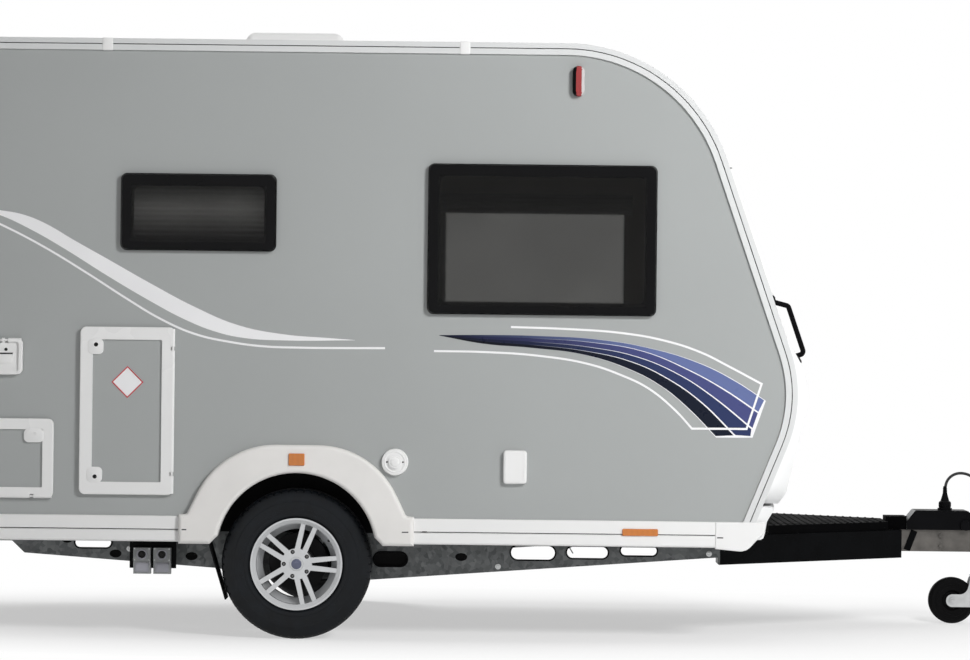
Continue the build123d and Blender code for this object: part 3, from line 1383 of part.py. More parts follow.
def jockey_fork():
    """Trailing fork: a head that turns on the stem and two flat arms to the axle."""
    half, axle_z, arm_half = JOCKEY_WHEEL_WIDE / 2 + FORK_SIDE_GAP, JOCKEY_WHEEL_R, FORK_ARM_TALL / 2
    outer, end = half + FORK_PLATE, -JOCKEY_TRAIL - arm_half
    arm = rounded(
        [
            (FORK_HEAD_FORE, FORK_TOP, FORK_NOSE_ROUND),
            (-FORK_HEAD_FORE, FORK_TOP, FORK_HEAD_FORE),
            (-JOCKEY_SLEEVE_R - FORK_HEAD_R, axle_z + arm_half, FORK_NECK_ROUND),
            (end, axle_z + arm_half, FORK_END_ROUND),
            (end, axle_z - arm_half, FORK_END_ROUND),
            (FORK_HEAD_R, axle_z - arm_half, FORK_NECK_ROUND),
        ]
    )
    fork = along_y(arm, half, outer) + along_y(arm, -outer, -half)
    fork += block((-FORK_HEAD_FORE, FORK_HEAD_FORE), (-outer, outer), (FORK_TOP - FORK_BRIDGE, FORK_TOP))
    head = rod((0, 0, FORK_TOP - FORK_PIVOT_DEEP - FORK_BRIDGE), (0, 0, FORK_TOP), FORK_HEAD_R)
    fork += head & block((-FAR, FAR), (-half, half), (0, FAR))
    pin = outer + FORK_AXLE_OUT
    fork += rod((-JOCKEY_TRAIL, -pin, axle_z), (-JOCKEY_TRAIL, pin, axle_z), JOCKEY_AXLE_R)
    room = (-JOCKEY_TRAIL, -half, axle_z), (-JOCKEY_TRAIL, half, axle_z)
    fork -= rod(*room, JOCKEY_WHEEL_R + FORK_SIDE_GAP) - rod(*room, JOCKEY_AXLE_R)
    pivot = FORK_TOP - FORK_PIVOT_DEEP - JOCKEY_RUN
    fork -= rod((0, 0, pivot), (0, 0, FAR), FORK_PIVOT_R + JOCKEY_RUN)
    return Pos(JOCKEY_X, JOCKEY_Y, 0) * fork


def jockey_wheel():
    """Solid rubber tyre and the plastic hub inside it."""
    half, edge = JOCKEY_WHEEL_WIDE / 2, JOCKEY_TYRE_ROUND
    at = Plane(
        origin=(JOCKEY_X - JOCKEY_TRAIL, JOCKEY_Y, JOCKEY_WHEEL_R), x_dir=(1, 0, 0), z_dir=(0, 1, 0)
    )
    rubber = [(JOCKEY_HUB_R, half), (JOCKEY_WHEEL_R - edge, half), (JOCKEY_WHEEL_R, half - edge)]
    rim_r, boss, web = JOCKEY_HUB_R - RIM_FIT, half + JOCKEY_BOSS_PROUD, half - JOCKEY_WEB_IN
    hub = [(JOCKEY_AXLE_R + JOCKEY_RUN, boss), (JOCKEY_BOSS_R, boss), (JOCKEY_BOSS_R, web)]
    hub += [(rim_r - JOCKEY_WEB_IN, web), (rim_r, half)]
    rings = []
    for upper in (rubber, hub):
        lower = [(radius, -y) for radius, y in reversed(upper)]
        face = make_face(Polyline(*upper, *lower, close=True))
        rings.append(at * revolve(Plane.XZ * face, axis=Axis.Z))
    return rings


# Corner steadies


def steady_leg(name):
    """Channel leg folded up under the floor, with the foot that lands flat when it is down."""
    pivot_x, towards, side = STEADIES[name]
    half, tall, sheet = STEADY_WIDE / 2, STEADY_TALL / 2, STEADY_SHEET
    leg = block((-STEADY_TAIL, STEADY_LONG), (-half, half), (-tall, tall))
    leg -= block((-FAR, FAR), (sheet - half, half - sheet), (-FAR, tall - sheet))
    sole = half + STEADY_FOOT_OUT
    foot = block((-STEADY_FOOT / 2, STEADY_FOOT / 2), (-sole, sole), (-sheet, 0))
    ankle = (-STEADY_ANKLE_HALF, STEADY_ANKLE_HALF)
    foot += block(ankle, (sheet - half, half - sheet), (-sheet / 2, STEADY_ANKLE_TALL))
    hinge = Pos(STEADY_LONG - STEADY_ANKLE_IN, 0, 0) * Rot(0, -STEADY_DROP, 0)
    leg += hinge * Pos(0, 0, -STEADY_ANKLE_TALL) * foot
    leg -= rod((0, -FAR, 0), (0, FAR, 0), STEADY_PIN_R + STEADY_RUN)
    turn = Rot(0, 0, 0 if towards > 0 else 180)
    return Pos(pivot_x, side * STEADY_Y, STEADY_Z) * turn * leg


def steady_brackets():
    """Two lugs and a pin under the floor for each steady."""
    half = STEADY_WIDE / 2 + STEADY_SIDE_GAP
    outer = half + STEADY_EAR
    tall = (-STEADY_EAR_DROP, FLOOR_UNDER - STEADY_Z)
    ears = block((-STEADY_EAR_HALF, STEADY_EAR_HALF), (-outer, outer), tall)
    ears -= block((-FAR, FAR), (-half, half), (-FAR, FAR))
    pin = outer + STEADY_PIN_OUT
    bracket = ears + rod((0, -pin, 0), (0, pin, 0), STEADY_PIN_R)
    return [Pos(x, side * STEADY_Y, STEADY_Z) * bracket for x, _, side in STEADIES.values()]


# Fittings


def wall_vents():
    """Round flue outlet and rectangular cowl on the right wall."""
    x, z, radius = FLUE
    face = BODY_HALF + FLUE_PROUD
    flue = rounded_out(rod((x, BODY_HALF, z), (x, face, z), radius), FLUE_ROUND)
    flue += rod((x, BODY_HALF, z), (x, face + FLUE_KNOB_PROUD, z), FLUE_KNOB_R)
    cowl = along_y(plate_face(*VENT, VENT_CORNER), BODY_HALF, BODY_HALF + VENT_PROUD)
    return [other_side(flue), other_side(rounded_out(cowl, VENT_ROUND))]


def amber_lamps():
    """Side lamps on the skirts and on the wheel arches."""
    lamps = []
    for row, seat in ((SKIRT_LAMP, SKIRT_PROUD), (ARCH_LAMP, ARCH_PROUD)):
        low = BODY_HALF + seat
        lamp = along_y(plate_face(*row, LAMP_CORNER), low, low + LAMP_PROUD)
        lamps += pair(rounded_out(lamp, LAMP_ROUND))
    return lamps


def outline_lamps():
    """Oval lamps high on the side walls, red behind and clear in front."""
    x, z, wide, tall = OUTLINE_LAMP
    oval = Pos(x, z) * Rot(0, 0, 90) * SlotOverall(tall, wide)
    lamp = along_y(oval, BODY_HALF, BODY_HALF + OUTLINE_LAMP_PROUD)
    return pair(rounded_out(lamp, OUTLINE_LAMP_ROUND))


def shell_x(z, out):
    """Where a horizontal line through the middle meets the front shell at a height."""
    face = body_face(out, BOW_SAG)
    cut = face & (Pos(0, z) * Rectangle(2 * FAR, 0.1))
    box = cut.bounding_box()
    return box.min.X, box.max.X


def rear_lamps():
    """Tall lamp clusters on the rear wall."""
    y, z, wide, tall = REAR_LAMP
    shape = along_x(Pos(y, z) * RectangleRounded(wide, tall, REAR_LAMP_CORNER), -FAR, REAR_SPLIT)
    band = body_face(SHELL_OUT + REAR_LAMP_PROUD) - body_face(SHELL_OUT)
    return pair(along_y(band, -SHELL_HALF, SHELL_HALF) & shape)


def grab_handles():
    """Bent bars on the front and rear walls, two at each end, with room for the fingers."""
    bars = []
    bow_drop = BOW_RADIUS - sqrt(BOW_RADIUS**2 - HANDLE_Y**2)
    front_body = bowed(body_face(SHELL_OUT, BOW_SAG)) & front_zone(SHELL_HALF)
    front_body += front_moulding()
    rear_body = along_y(body_face(SHELL_OUT), -SHELL_HALF, SHELL_HALF)
    for rear, (low, high) in ((False, FRONT_HANDLE_Z), (True, REAR_HANDLE_Z)):
        off = REAR_HANDLE_OFF if rear else FRONT_HANDLE_OFF
        heights = (low, low + HANDLE_SHOULDER, high - HANDLE_SHOULDER, high)
        points = []
        for z, out in zip(heights, (-HANDLE_SINK, off, off, -HANDLE_SINK)):
            back, front = shell_x(z, SHELL_OUT)
            points.append((back - out if rear else front - bow_drop + out, HANDLE_Y, z))
        path = FilletPolyline(*points, radius=HANDLE_BEND)
        start = Plane(origin=path @ 0, z_dir=path % 0)
        bar = sweep(start * Circle(HANDLE_R), path=path)
        bars += pair(bar - (rear_body if rear else front_body))
    return bars


def outlet_boxes():
    """Two grey outlet boxes on a plate under the right side."""
    half = OUTLET_WIDE / 2
    margin = half + OUTLET_PLATE_MARGIN
    boxes = block(
        (OUTLET_X[0] - margin, OUTLET_X[1] + margin),
        (OUTLET_Y - OUTLET_PLATE, OUTLET_Y),
        (OUTLET_TOP - OUTLET_PLATE_DROP, FLOOR_UNDER),
    )
    middle = OUTLET_TOP - OUTLET_TALL / 2
    socket_z = (middle + OUTLET_TOP) / 2
    front = OUTLET_Y + OUTLET_DEEP
    for x in OUTLET_X:
        sides = (x - half, x + half)
        boxes += block(sides, (OUTLET_Y, front), (middle, OUTLET_TOP))
        boxes += block(sides, (OUTLET_Y, front - OUTLET_STEP), (middle - OUTLET_TALL / 2, middle))
        bottom = front - OUTLET_SOCKET_DEEP
        boxes -= rod((x, bottom, socket_z), (x, front + 1, socket_z), OUTLET_SOCKET_R)
        boxes += rod((x, bottom - 1, socket_z), (x, front - OUTLET_STEP / 2, socket_z), OUTLET_PIN_R)
    return [other_side(boxes)]


def locker_tray(name, deep):
    """Open tray behind a leaf of the left wall's mirror, with its inside as wide as the opening."""
    _, _, x, z, wide, tall = LEAVES[name][:6]
    w, t = wide / 2 - OPENING_INSET, tall / 2 - OPENING_INSET
    out = LOCKER_WALL
    tray = block((x - w - out, x + w + out), (WALL_IN - deep, WALL_IN), (z - t - out, z + t + out))
    return tray - block((x - w, x + w), (WALL_IN - deep + out, FAR), (z - t, z + t))


def locker_boxes():
    """Trays behind the gas locker and storage hatches."""
    return [other_side(locker_tray(name, LOCKER_DEPTH)) for name in ("gas_locker_door", "storage_hatch_door")]


def inlet_box():
    """Closed tray of the connection inlet with its socket, behind the small lid."""
    _, _, x, z = LEAVES["inlet_lid"][:4]
    back = WALL_IN - INLET_DEEP
    socket = rod((x, back + 1, z), (x, WALL_IN - INLET_SOCKET_LOW, z), INLET_SOCKET_R)
    return other_side(locker_tray("inlet_lid", INLET_DEEP) + socket)


def door_window_cut(inset, low, high):
    """Prism of the entry door's window, between two heights over the wall."""
    _, _, x, z = LEAVES["entry_door"][:4]
    face = plate_face(
        x, z + DOOR_WINDOW_UP, DOOR_WINDOW_W - 2 * inset, DOOR_WINDOW_H - 2 * inset, PANE_ROUND
    )
    return along_y(face, BODY_HALF + low, BODY_HALF + high)


def entry_door_parts():
    """Entry door with its window cut, the dark pane on it, and the handle plate."""
    _, _, x, z, wide, _, border, proud, plug = LEAVES["entry_door"]
    door = leaf_door("entry_door") - door_window_cut(WINDOW_BORDER / 2, -2 * WALL, 2 * WALL)
    face = proud - LEAF_POCKET
    pane = door_window_cut(0, face + PANE_GAP, face + PANE_GAP + PANE_THICK / 2)
    handle_x, handle_z = x + wide / 2 - border / 2, z - DOOR_HANDLE_DOWN
    outside = BODY_HALF + proud
    plate_wide, plate_tall, plate_thick = DOOR_PLATE
    plate = plate_face(handle_x, handle_z, plate_wide, plate_tall, plate_thick)
    plate = along_y(plate, outside, outside + plate_thick)
    grip_wide, grip_tall, grip_proud = DOOR_GRIP
    grip = plate_face(handle_x, handle_z + DOOR_GRIP[1] / 4, grip_wide, grip_tall, grip_wide / 4)
    grip = along_y(grip, outside, outside + grip_proud)
    return door, pane, plate + grip


def write_nodes(nodes):
    """Moves the part onto its origin and writes one STEP file for each node."""
    os.makedirs("parts", exist_ok=True)
    shift = Pos(-(HITCH_REACH - REAR_REACH) / 2, 0, 0)
    for name, shapes in nodes.items():
        solids = [s for shape in shapes for s in (shift * shape).solids()]
        export_step(Compound(solids) if len(solids) > 1 else solids[0], f"parts/{name}.step")


def main():
    frames, panes = windows()
    rubber, hub = jockey_wheel()
    door, door_pane, door_handle = entry_door_parts()
    nodes = {
        "side_wall_right": [side_wall("right")],
        "side_wall_left": [side_wall("left")],
        "front_wall": [front_wall()],
        "rear_wall": [rear_wall()],
        "roof": [roof()],
        "floor": [floor_panel()],
        "edge_trims": pair(edge_trim()),
        "side_skirts": [p for part in skirts() for p in pair(part)],
        "wheel_arches": pair(wheel_arch()),
        "wheel_liners": pair(wheel_liner()),
        "front_moulding": [front_moulding()],
        "end_sills": [front_sill(), rear_bumper()],
        "window_frames": frames,
        "window_panes": panes,
        "roof_light": roof_light(),
        "hatch_flanges": [leaf_flange(name) for name in LEAVES],
        "locker_boxes": [*locker_boxes(), inlet_box()],
        "wall_vents": wall_vents(),
        "side_lamps": amber_lamps() + outline_lamps(),
        "rear_lamps": rear_lamps(),
        "grab_handles": grab_handles(),
        "chassis_rails": pair(rail()),
        "cross_members": cross_members(),
        "drawbars": pair(drawbar()),
        "drawbar_cover": drawbar_cover(),
        "overrun_housing": [overrun_housing()],
        "top_cover": [top_cover()],
        "lead_plug": [plug()],
        "lead": [lead()],
        "coupling_shaft": [coupling_shaft()],
        "coupling_gaiter": [gaiter()],
        "coupling_head": [coupling_head()],
        "brake_lever": [brake_lever()],
        "brake_rod": [brake_rod()],
        "axle_beam": [axle_beam()],
        "swing_arms": pair(swing_arm()),
        "mudflaps": pair(mudflap()),
        "outlet_boxes": outlet_boxes(),
        "steady_brackets": steady_brackets(),
        "jockey_sleeve": [jockey_sleeve()],
        "jockey_stem": [jockey_stem()],
        "jockey_fork": [jockey_fork()],
        "jockey_wheel": [rubber, hub],
        "gas_locker_door": [leaf_door("gas_locker_door")],
        "storage_hatch_door": [leaf_door("storage_hatch_door")],
        "inlet_lid": [leaf_door("inlet_lid")],
        "entry_door": [door, door_handle],
        "entry_door_pane": [door_pane],
    }
    for side, place in (("left", lambda part: part), ("right", other_side)):
        nodes[f"tyre_{side}"] = [place(tyre())]
        nodes[f"rim_{side}"] = [place(rim())]
        nodes[f"drum_{side}"] = [place(hub_drum())]
    for name in STEADIES:
        nodes[name] = [steady_leg(name)]
    write_nodes(nodes)


main()
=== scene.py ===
# %% [markdown]
# # A touring caravan, dressed in Blender
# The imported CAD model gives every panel, wheel and hinge at its real place. This lesson keeps those
# solids, paints them, and models by hand what a solid modeller leaves out: tyre tread, stripes,
# locks, bolts, seals and the lead. Blender's lengths are metres, and +X points to the coupling.

# %% Load the frame
import math

import bmesh
import bpy
from mathutils import Matrix, Vector


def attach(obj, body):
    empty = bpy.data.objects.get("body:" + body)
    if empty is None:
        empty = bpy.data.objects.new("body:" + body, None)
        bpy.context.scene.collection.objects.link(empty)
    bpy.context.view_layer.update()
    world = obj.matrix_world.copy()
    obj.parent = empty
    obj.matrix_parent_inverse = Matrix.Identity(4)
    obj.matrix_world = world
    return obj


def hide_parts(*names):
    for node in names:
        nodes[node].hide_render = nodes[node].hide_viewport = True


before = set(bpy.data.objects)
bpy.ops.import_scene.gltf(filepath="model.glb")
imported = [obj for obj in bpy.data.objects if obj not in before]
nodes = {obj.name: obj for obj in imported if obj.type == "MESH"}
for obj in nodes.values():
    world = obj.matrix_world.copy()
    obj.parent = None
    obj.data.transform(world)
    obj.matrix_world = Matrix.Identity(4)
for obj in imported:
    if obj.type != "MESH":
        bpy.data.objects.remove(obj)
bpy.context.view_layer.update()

# %% [markdown]
# ## Measures shared by every cell
# Positions on the body are easiest to read from the axle line and the ground, in millimetres, as a
# workshop drawing gives them. One helper turns such a point into the shared frame.

# %% Axle coordinates
AXLE_X = -0.695
SIDE = 1.030
TYRE_R = 0.320
WHEEL_Y = 0.928
WHEEL_CENTRE = Vector((AXLE_X, -WHEEL_Y, TYRE_R))


def at(x, y, z):
    """A point in millimetres from the axle line, centre plane and ground, in metres."""
    return Vector((x / 1000 + AXLE_X, y / 1000, z / 1000))


print("right wheel's centre:", WHEEL_CENTRE)

# %% [markdown]
# ## Camera
# The photograph was taken square to the right-hand side with a long lens, held a little crooked. A
# camera that looks along +Y from 13.5 metres beyond the wall, turned by the same part of a degree
# about its own axis, gives the same picture.

# %% Camera at the photograph's angle
CAMERA_PLACE = at(792, -14530, 1326)
CAMERA_ROLL = math.radians(0.65)
CAMERA_LENS = 117.9


def add_object(name, data):
    """Puts new data into the scene as an object."""
    made = bpy.data.objects.new(name, data)
    bpy.context.scene.collection.objects.link(made)
    return made


camera_data = bpy.data.cameras.new("photo_camera")
camera_data.lens = CAMERA_LENS
camera_data.sensor_width = 36.0
camera_data.clip_end = 200.0
camera = add_object("photo_camera", camera_data)
upright = Matrix.Rotation(math.radians(90), 4, "X") @ Matrix.Rotation(CAMERA_ROLL, 4, "Z")
camera.matrix_world = Matrix.Translation(CAMERA_PLACE) @ upright
bpy.context.scene.camera = camera
bpy.context.scene.view_settings.view_transform = "Standard"
print("camera at", camera.matrix_world.translation)

# %% [markdown]
# ## Materials
# Paint, moulded plastic, zinc and rubber are each a Principled shader. What makes them read as real
# is slow unevenness in colour and gloss, and a fine grain in the surface. Both come from noise in
# Object coordinates, so that nothing slides when a part moves. Two small helpers add and feed the
# nodes, so that each finish below reads as a list of what it is made of.

# %% Tools for node materials
NOISE_LOW, NOISE_HIGH = 0.3, 0.7


def start_material(name):
    """A new node material with its Principled shader."""
    material = bpy.data.materials.new(name)
    material.use_nodes = True
    tree = material.node_tree
    return material, tree, tree.nodes["Principled BSDF"]


def feed(tree, node, sockets):
    """Sets each socket to a number or colour, or links it to another node's output."""
    for key, value in sockets.items():
        if isinstance(value, bpy.types.NodeSocket):
            tree.links.new(value, node.inputs[key])
        else:
            node.inputs[key].default_value = value


def add_node(tree, kind, sockets, **settings):
    """Adds a shader node with its settings, and feeds its sockets."""
    node = tree.nodes.new("ShaderNode" + kind)
    for key, value in settings.items():
        setattr(node, key, value)
    feed(tree, node, sockets)
    return node


def object_place(tree):
    """Object coordinates of the point that is shaded."""
    return add_node(tree, "TexCoord", {}).outputs["Object"]


def object_noise(tree, scale, detail=4.0, stretch=(1, 1, 1)):
    """Noise in Object coordinates, stretched along an axis where the finish is drawn or brushed."""
    mapping = add_node(tree, "Mapping", {"Vector": object_place(tree), "Scale": stretch})
    noise = add_node(tree, "TexNoise", {"Vector": mapping.outputs["Vector"], "Scale": scale,
                                        "Detail": detail})
    return noise.outputs["Fac"]


def ramp(tree, value, low, high, start=NOISE_LOW, end=NOISE_HIGH):
    """Colour that goes from low to high as a value rises."""
    node = add_node(tree, "ValToRGB", {"Fac": value})
    first, last = node.color_ramp.elements
    first.position, first.color = start, (*low, 1)
    last.position, last.color = end, (*high, 1)
    return node.outputs["Color"]


def spread(tree, value, low, high):
    """Number that goes from low to high as noise rises."""
    node = add_node(tree, "MapRange", {"Value": value, "From Min": NOISE_LOW, "From Max": NOISE_HIGH,
                                       "To Min": low, "To Max": high})
    return node.outputs["Result"]


def raise_grain(tree, shader, value, strength, distance):
    """Fine relief from a height value."""
    bump = add_node(tree, "Bump", {"Height": value, "Strength": strength, "Distance": distance})
    feed(tree, shader, {"Normal": bump.outputs["Normal"]})


def tone(colour, factor):
    """A lighter or darker shade of a colour."""
    return tuple(min(1.0, c * factor) for c in colour)


def finish(name, colour, rough, vary=0.05, patch=3.0, grain=0.15, grain_scale=900.0, depth=0.0004,
           metal=0.0, coat=0.0, gloss=0.5, stretch=(1, 1, 1)):
    """A painted, moulded or metal surface with slow unevenness and a fine grain."""
    material, tree, shader = start_material(name)
    slow = object_noise(tree, patch, stretch=stretch)
    feed(tree, shader, {
        "Base Color": ramp(tree, slow, tone(colour, 1 - vary), tone(colour, 1 + vary)),
        "Roughness": spread(tree, slow, rough * 0.85, rough * 1.15),
        "Metallic": metal,
        "Specular IOR Level": gloss,
        "Coat Weight": coat,
        "Coat Roughness": 0.08,
    })
    raise_grain(tree, shader, object_noise(tree, grain_scale, 2.0, stretch), grain, depth)
    return material


def paint(names, material):
    """Gives CAD nodes one finish all over."""
    for name in names.split():
        mesh = nodes[name].data
        mesh.materials.clear()
        mesh.materials.append(material)
        for face in mesh.polygons:
            face.material_index = 0


def paint_where(name, material, test):
    """Gives the faces of a CAD node that pass a test a second finish, and says how many."""
    mesh = nodes[name].data
    mesh.materials.append(material)
    index = len(mesh.materials) - 1
    count = 0
    for face in mesh.polygons:
        if test(face.center, face.normal):
            face.material_index = index
            count += 1
    print(f"{name}: {count} faces in {material.name}")


print("material tools are ready")

# %% [markdown]
# ## Body finishes
# The side panels are light grey, with a satin coat over smooth sheet. The ends and the roof are a
# dull white, trims, skirts and hatches are gloss white mouldings, and the wheel arches are a warmer
# white. Inside, the walls have a dull brown lining. A CAD node may have two finishes: its faces are
# told apart by where they lie and which way they point, which needs no cuts in the mesh.

# %% Paint the body
side_skin = finish("grey_side_skin", (0.36, 0.375, 0.372), 0.34, vary=0.02, patch=1.2, grain=0.05,
                   grain_scale=260, coat=0.25)
white_skin = finish("white_gelcoat", (0.82, 0.825, 0.825), 0.5, vary=0.02, patch=1.5, grain=0.04,
                    grain_scale=240, gloss=0.06)
white_moulding = finish("white_moulding", (0.84, 0.84, 0.835), 0.30, vary=0.006, patch=2, grain=0.06,
                        grain_scale=700)
# Painted shade: a darker copy of the white moulding for the edge trims, which are the same white plastic.
trim_white_painted_shade = finish("trim_white_painted_shade", (0.67, 0.68, 0.68), 0.32, vary=0.012, patch=2, grain=0.05,
                    grain_scale=600)
arch_white = finish("warm_white_arch", (0.80, 0.785, 0.765), 0.36, vary=0.03, patch=6, grain=0.08,
                    grain_scale=800)
cabin_lining = finish("cabin_lining", (0.20, 0.17, 0.135), 0.6, vary=0.08, patch=8, stretch=(1, 1, 0.1))
black_plastic = finish("black_moulding", (0.0032, 0.0032, 0.0038), 0.4, vary=0.25, patch=9, grain=0.25,
                       grain_scale=1400, gloss=0.05)
# Painted shade: a dark finish for the groove of the edge trims, the underside of the skirts' step and the
# drain slots.
slit_shade = finish("painted_slit_shade", (0.035, 0.035, 0.037), 0.7, vary=0.3, patch=30)
floor_ply = finish("floor_board", (0.055, 0.045, 0.036), 0.75, vary=0.25, patch=6, stretch=(0.2, 1, 1))
FLOOR_TOP = 0.45


def in_awning_groove(centre, normal):
    """Floor of the groove along the edge trims, painted dark as the shade in the groove."""
    return 1.0305 < abs(centre.y) < 1.037 and abs(normal.y) > 0.9


def under_skirt_step(centre, normal):
    """Underside of the step along the side skirts, painted dark as the shade line under it."""
    return 0.459 < centre.z < 0.468 and normal.z < -0.4 and abs(centre.y) > 1.036


paint("side_wall_right side_wall_left", side_skin)
paint("front_wall rear_wall roof front_moulding end_sills", white_skin)
paint("edge_trims", trim_white_painted_shade)
paint("side_skirts hatch_flanges gas_locker_door storage_hatch_door inlet_lid entry_door", white_moulding)
paint("wall_vents roof_light", white_moulding)
paint("wheel_arches", arch_white)
paint("wheel_liners window_frames grab_handles", black_plastic)
paint("floor", floor_ply)
paint_where("side_wall_right", cabin_lining, lambda c, n: n.y > 0.9)
paint_where("side_wall_left", cabin_lining, lambda c, n: n.y < -0.9)
paint_where("front_wall", cabin_lining, lambda c, n: n.x < -0.25 and c.z > FLOOR_TOP)
paint_where("rear_wall", cabin_lining, lambda c, n: n.x > 0.25 and c.z > FLOOR_TOP)
# Painted shade in the awning groove and under the skirts' step.
paint_where("edge_trims", slit_shade, in_awning_groove)
paint_where("side_skirts", slit_shade, under_skirt_step)

# %% [markdown]
# ## Chassis and running-gear finishes
# The rails are hot-dip galvanised: a dull grey with the crystal patches of zinc, for which cells of
# a Voronoi pattern do better than soft noise. The drawbar is black enamel, the wheels silver lacquer
# on cast alloy, and tyres, flaps and gaiter are rubber.

# %% Paint the chassis


def galvanised(name, light, dark):
    """Zinc with its crystal patches, from a Voronoi pattern."""
    material, tree, shader = start_material(name)
    flakes = add_node(tree, "TexVoronoi", {"Vector": object_place(tree), "Scale": 55})
    shade = add_node(tree, "SeparateColor", {"Color": flakes.outputs["Color"]})
    feed(tree, shader, {
        "Base Color": ramp(tree, shade.outputs["Red"], dark, light, 0.1, 0.9),
        "Roughness": spread(tree, shade.outputs["Green"], 0.42, 0.58),
        "Metallic": 0.55,
    })
    raise_grain(tree, shader, object_noise(tree, 500), 0.15, 0.0004)
    return material


zinc_rail = galvanised("galvanised_rail", (0.155, 0.162, 0.164), (0.092, 0.098, 0.10))
bright_zinc = finish("bright_zinc", (0.55, 0.56, 0.56), 0.34, vary=0.12, patch=20, grain=0.1, metal=0.9)
housing_steel = finish("housing_steel", (0.115, 0.108, 0.10), 0.42, vary=0.35, patch=14, metal=0.55)
black_enamel = finish("black_enamel", (0.0018, 0.0020, 0.0024), 0.28, vary=0.4, patch=6, grain=0.12,
                      grain_scale=300, depth=0.0006, gloss=0.04)
tread_black = finish("tread_black", (0.0018, 0.0018, 0.002), 0.65, vary=0.3, patch=12, grain=0.3, gloss=0.02)
silver_lacquer = finish("silver_lacquer", (0.56, 0.57, 0.58), 0.34, vary=0.05, patch=14, grain=0.03,
                        grain_scale=1600, metal=0.75, coat=0.2)
tyre_rubber = finish("tyre_rubber", (0.0045, 0.0056, 0.0072), 0.42, vary=0.4, patch=16, grain=0.3,
                     grain_scale=700, depth=0.0005, gloss=0.2)
flap_rubber = finish("flap_rubber", (0.004, 0.004, 0.0042), 0.6, vary=0.3, patch=18, grain=0.2, gloss=0.07)
cast_drum_and_hole_shade = finish("cast_drum_and_hole_shade", (0.014, 0.014, 0.015), 0.6, vary=0.3, patch=25, grain=0.4,
                   grain_scale=350, gloss=0.2)
grey_plastic = finish("grey_moulding", (0.30, 0.31, 0.315), 0.45, vary=0.08, patch=12, grain=0.2)
COVER_BACK = at(2770, 0, 0).x

paint("chassis_rails cross_members", zinc_rail)
paint("steady_brackets steady_front_right steady_front_left steady_rear_right steady_rear_left", zinc_rail)
paint("coupling_shaft brake_rod jockey_sleeve jockey_stem jockey_fork", bright_zinc)
paint("overrun_housing", housing_steel)
paint("drawbars coupling_head axle_beam swing_arms", black_enamel)
paint("top_cover brake_lever lead_plug", black_plastic)
paint("drawbar_cover", tread_black)
paint("mudflaps coupling_gaiter lead jockey_wheel", flap_rubber)
paint("tyre_left tyre_right", tyre_rubber)
paint("rim_left rim_right", silver_lacquer)
paint("drum_left drum_right", cast_drum_and_hole_shade)
paint("outlet_boxes locker_boxes", grey_plastic)
paint_where("top_cover", grey_plastic, lambda c, n: n.x < -0.4 and c.x < COVER_BACK)

# %% [markdown]
# ## Lenses and panes
# Caravan windows are smoked acrylic: nearly black from outside by day, yet a window on the far side
# shows through. A transmissive shader with a dark tint does both. Lamp lenses are coloured and
# clear-coated, and the ribs inside them are a fine wave.

# %% Paint lamps and windows


def smoked_acrylic(name, tint):
    """Dark acrylic that mirrors the surroundings faintly and lets some light through."""
    material, tree, shader = start_material(name)
    slow = object_noise(tree, 2.0)
    feed(tree, shader, {
        "Base Color": ramp(tree, slow, tone(tint, 0.9), tone(tint, 1.1)),
        "Roughness": spread(tree, slow, 0.035, 0.06),
        "Transmission Weight": 1.0,
        "IOR": 1.49,
        "Specular Tint": (0.26, 0.26, 0.26, 1),
    })
    return material


def lens(name, colour):
    """Coloured lamp lens with the ribs moulded inside it."""
    material, tree, shader = start_material(name)
    ribs = add_node(tree, "TexWave", {"Vector": object_place(tree), "Scale": 60}).outputs["Fac"]
    feed(tree, shader, {
        "Base Color": ramp(tree, ribs, tone(colour, 0.8), tone(colour, 1.15)),
        "Roughness": 0.12,
        "Coat Weight": 0.6,
    })
    raise_grain(tree, shader, ribs, 0.2, 0.0005)
    return material


smoked = smoked_acrylic("smoked_acrylic", (0.27, 0.27, 0.265))
amber_lens = lens("amber_lens", (0.58, 0.17, 0.010))
red_lens = lens("red_lens", (0.30, 0.006, 0.008))
clear_lens = lens("clear_lens", (0.55, 0.52, 0.52))
FRONT_PANE_X = at(1800, 0, 0).x
OUTLINE_LAMP_Z = 2.2
RED_FROM_X, CLEAR_FROM_X = at(1168, 0, 0).x, at(1190, 0, 0).x
TURN_LAMP_FOOT, TURN_LAMP_TOP = 0.80, 0.88
REVERSE_LAMP_TOP = 0.69

paint("window_panes entry_door_pane", smoked)
paint_where("window_panes", white_moulding, lambda c, n: c.x > FRONT_PANE_X and abs(n.y) > 0.6)
paint("side_lamps", amber_lens)
for material, low, high in ((black_plastic, -math.inf, RED_FROM_X), (red_lens, RED_FROM_X, CLEAR_FROM_X),
                            (clear_lens, CLEAR_FROM_X, math.inf)):
    paint_where("side_lamps", material, lambda c, n: c.z > OUTLINE_LAMP_Z and low <= c.x < high)
paint("rear_lamps", red_lens)
paint_where("rear_lamps", amber_lens, lambda c, n: TURN_LAMP_FOOT < c.z < TURN_LAMP_TOP)
paint_where("rear_lamps", clear_lens, lambda c, n: c.z < REVERSE_LAMP_TOP)

# %% [markdown]
# ## Tools for modelling by hand
# Each new piece starts as one primitive, opened in edit mode with nothing else selected. Faces and
# edges are then picked by where they lie, and the usual operators do the rest. When a form is done,
# its place is applied, so that the object itself sits at the origin like the CAD nodes. What repeats
# is modelled once, and stamped where it belongs as copies with meshes of their own.

# %% Modelling tools
MIRROR = Matrix.Diagonal((1, -1, 1, 1))
FACE_RIGHT = (math.radians(90), 0, 0)
FACE_LEFT = (math.radians(-90), 0, 0)
RIGHT_TURN = Matrix.Rotation(math.radians(90), 4, "X")
LEFT_TURN = Matrix.Rotation(math.radians(-90), 4, "X")


def choose(piece):
    """Leaves one object selected and active."""
    bpy.ops.object.select_all(action="DESELECT")
    piece.select_set(True)
    bpy.context.view_layer.objects.active = piece


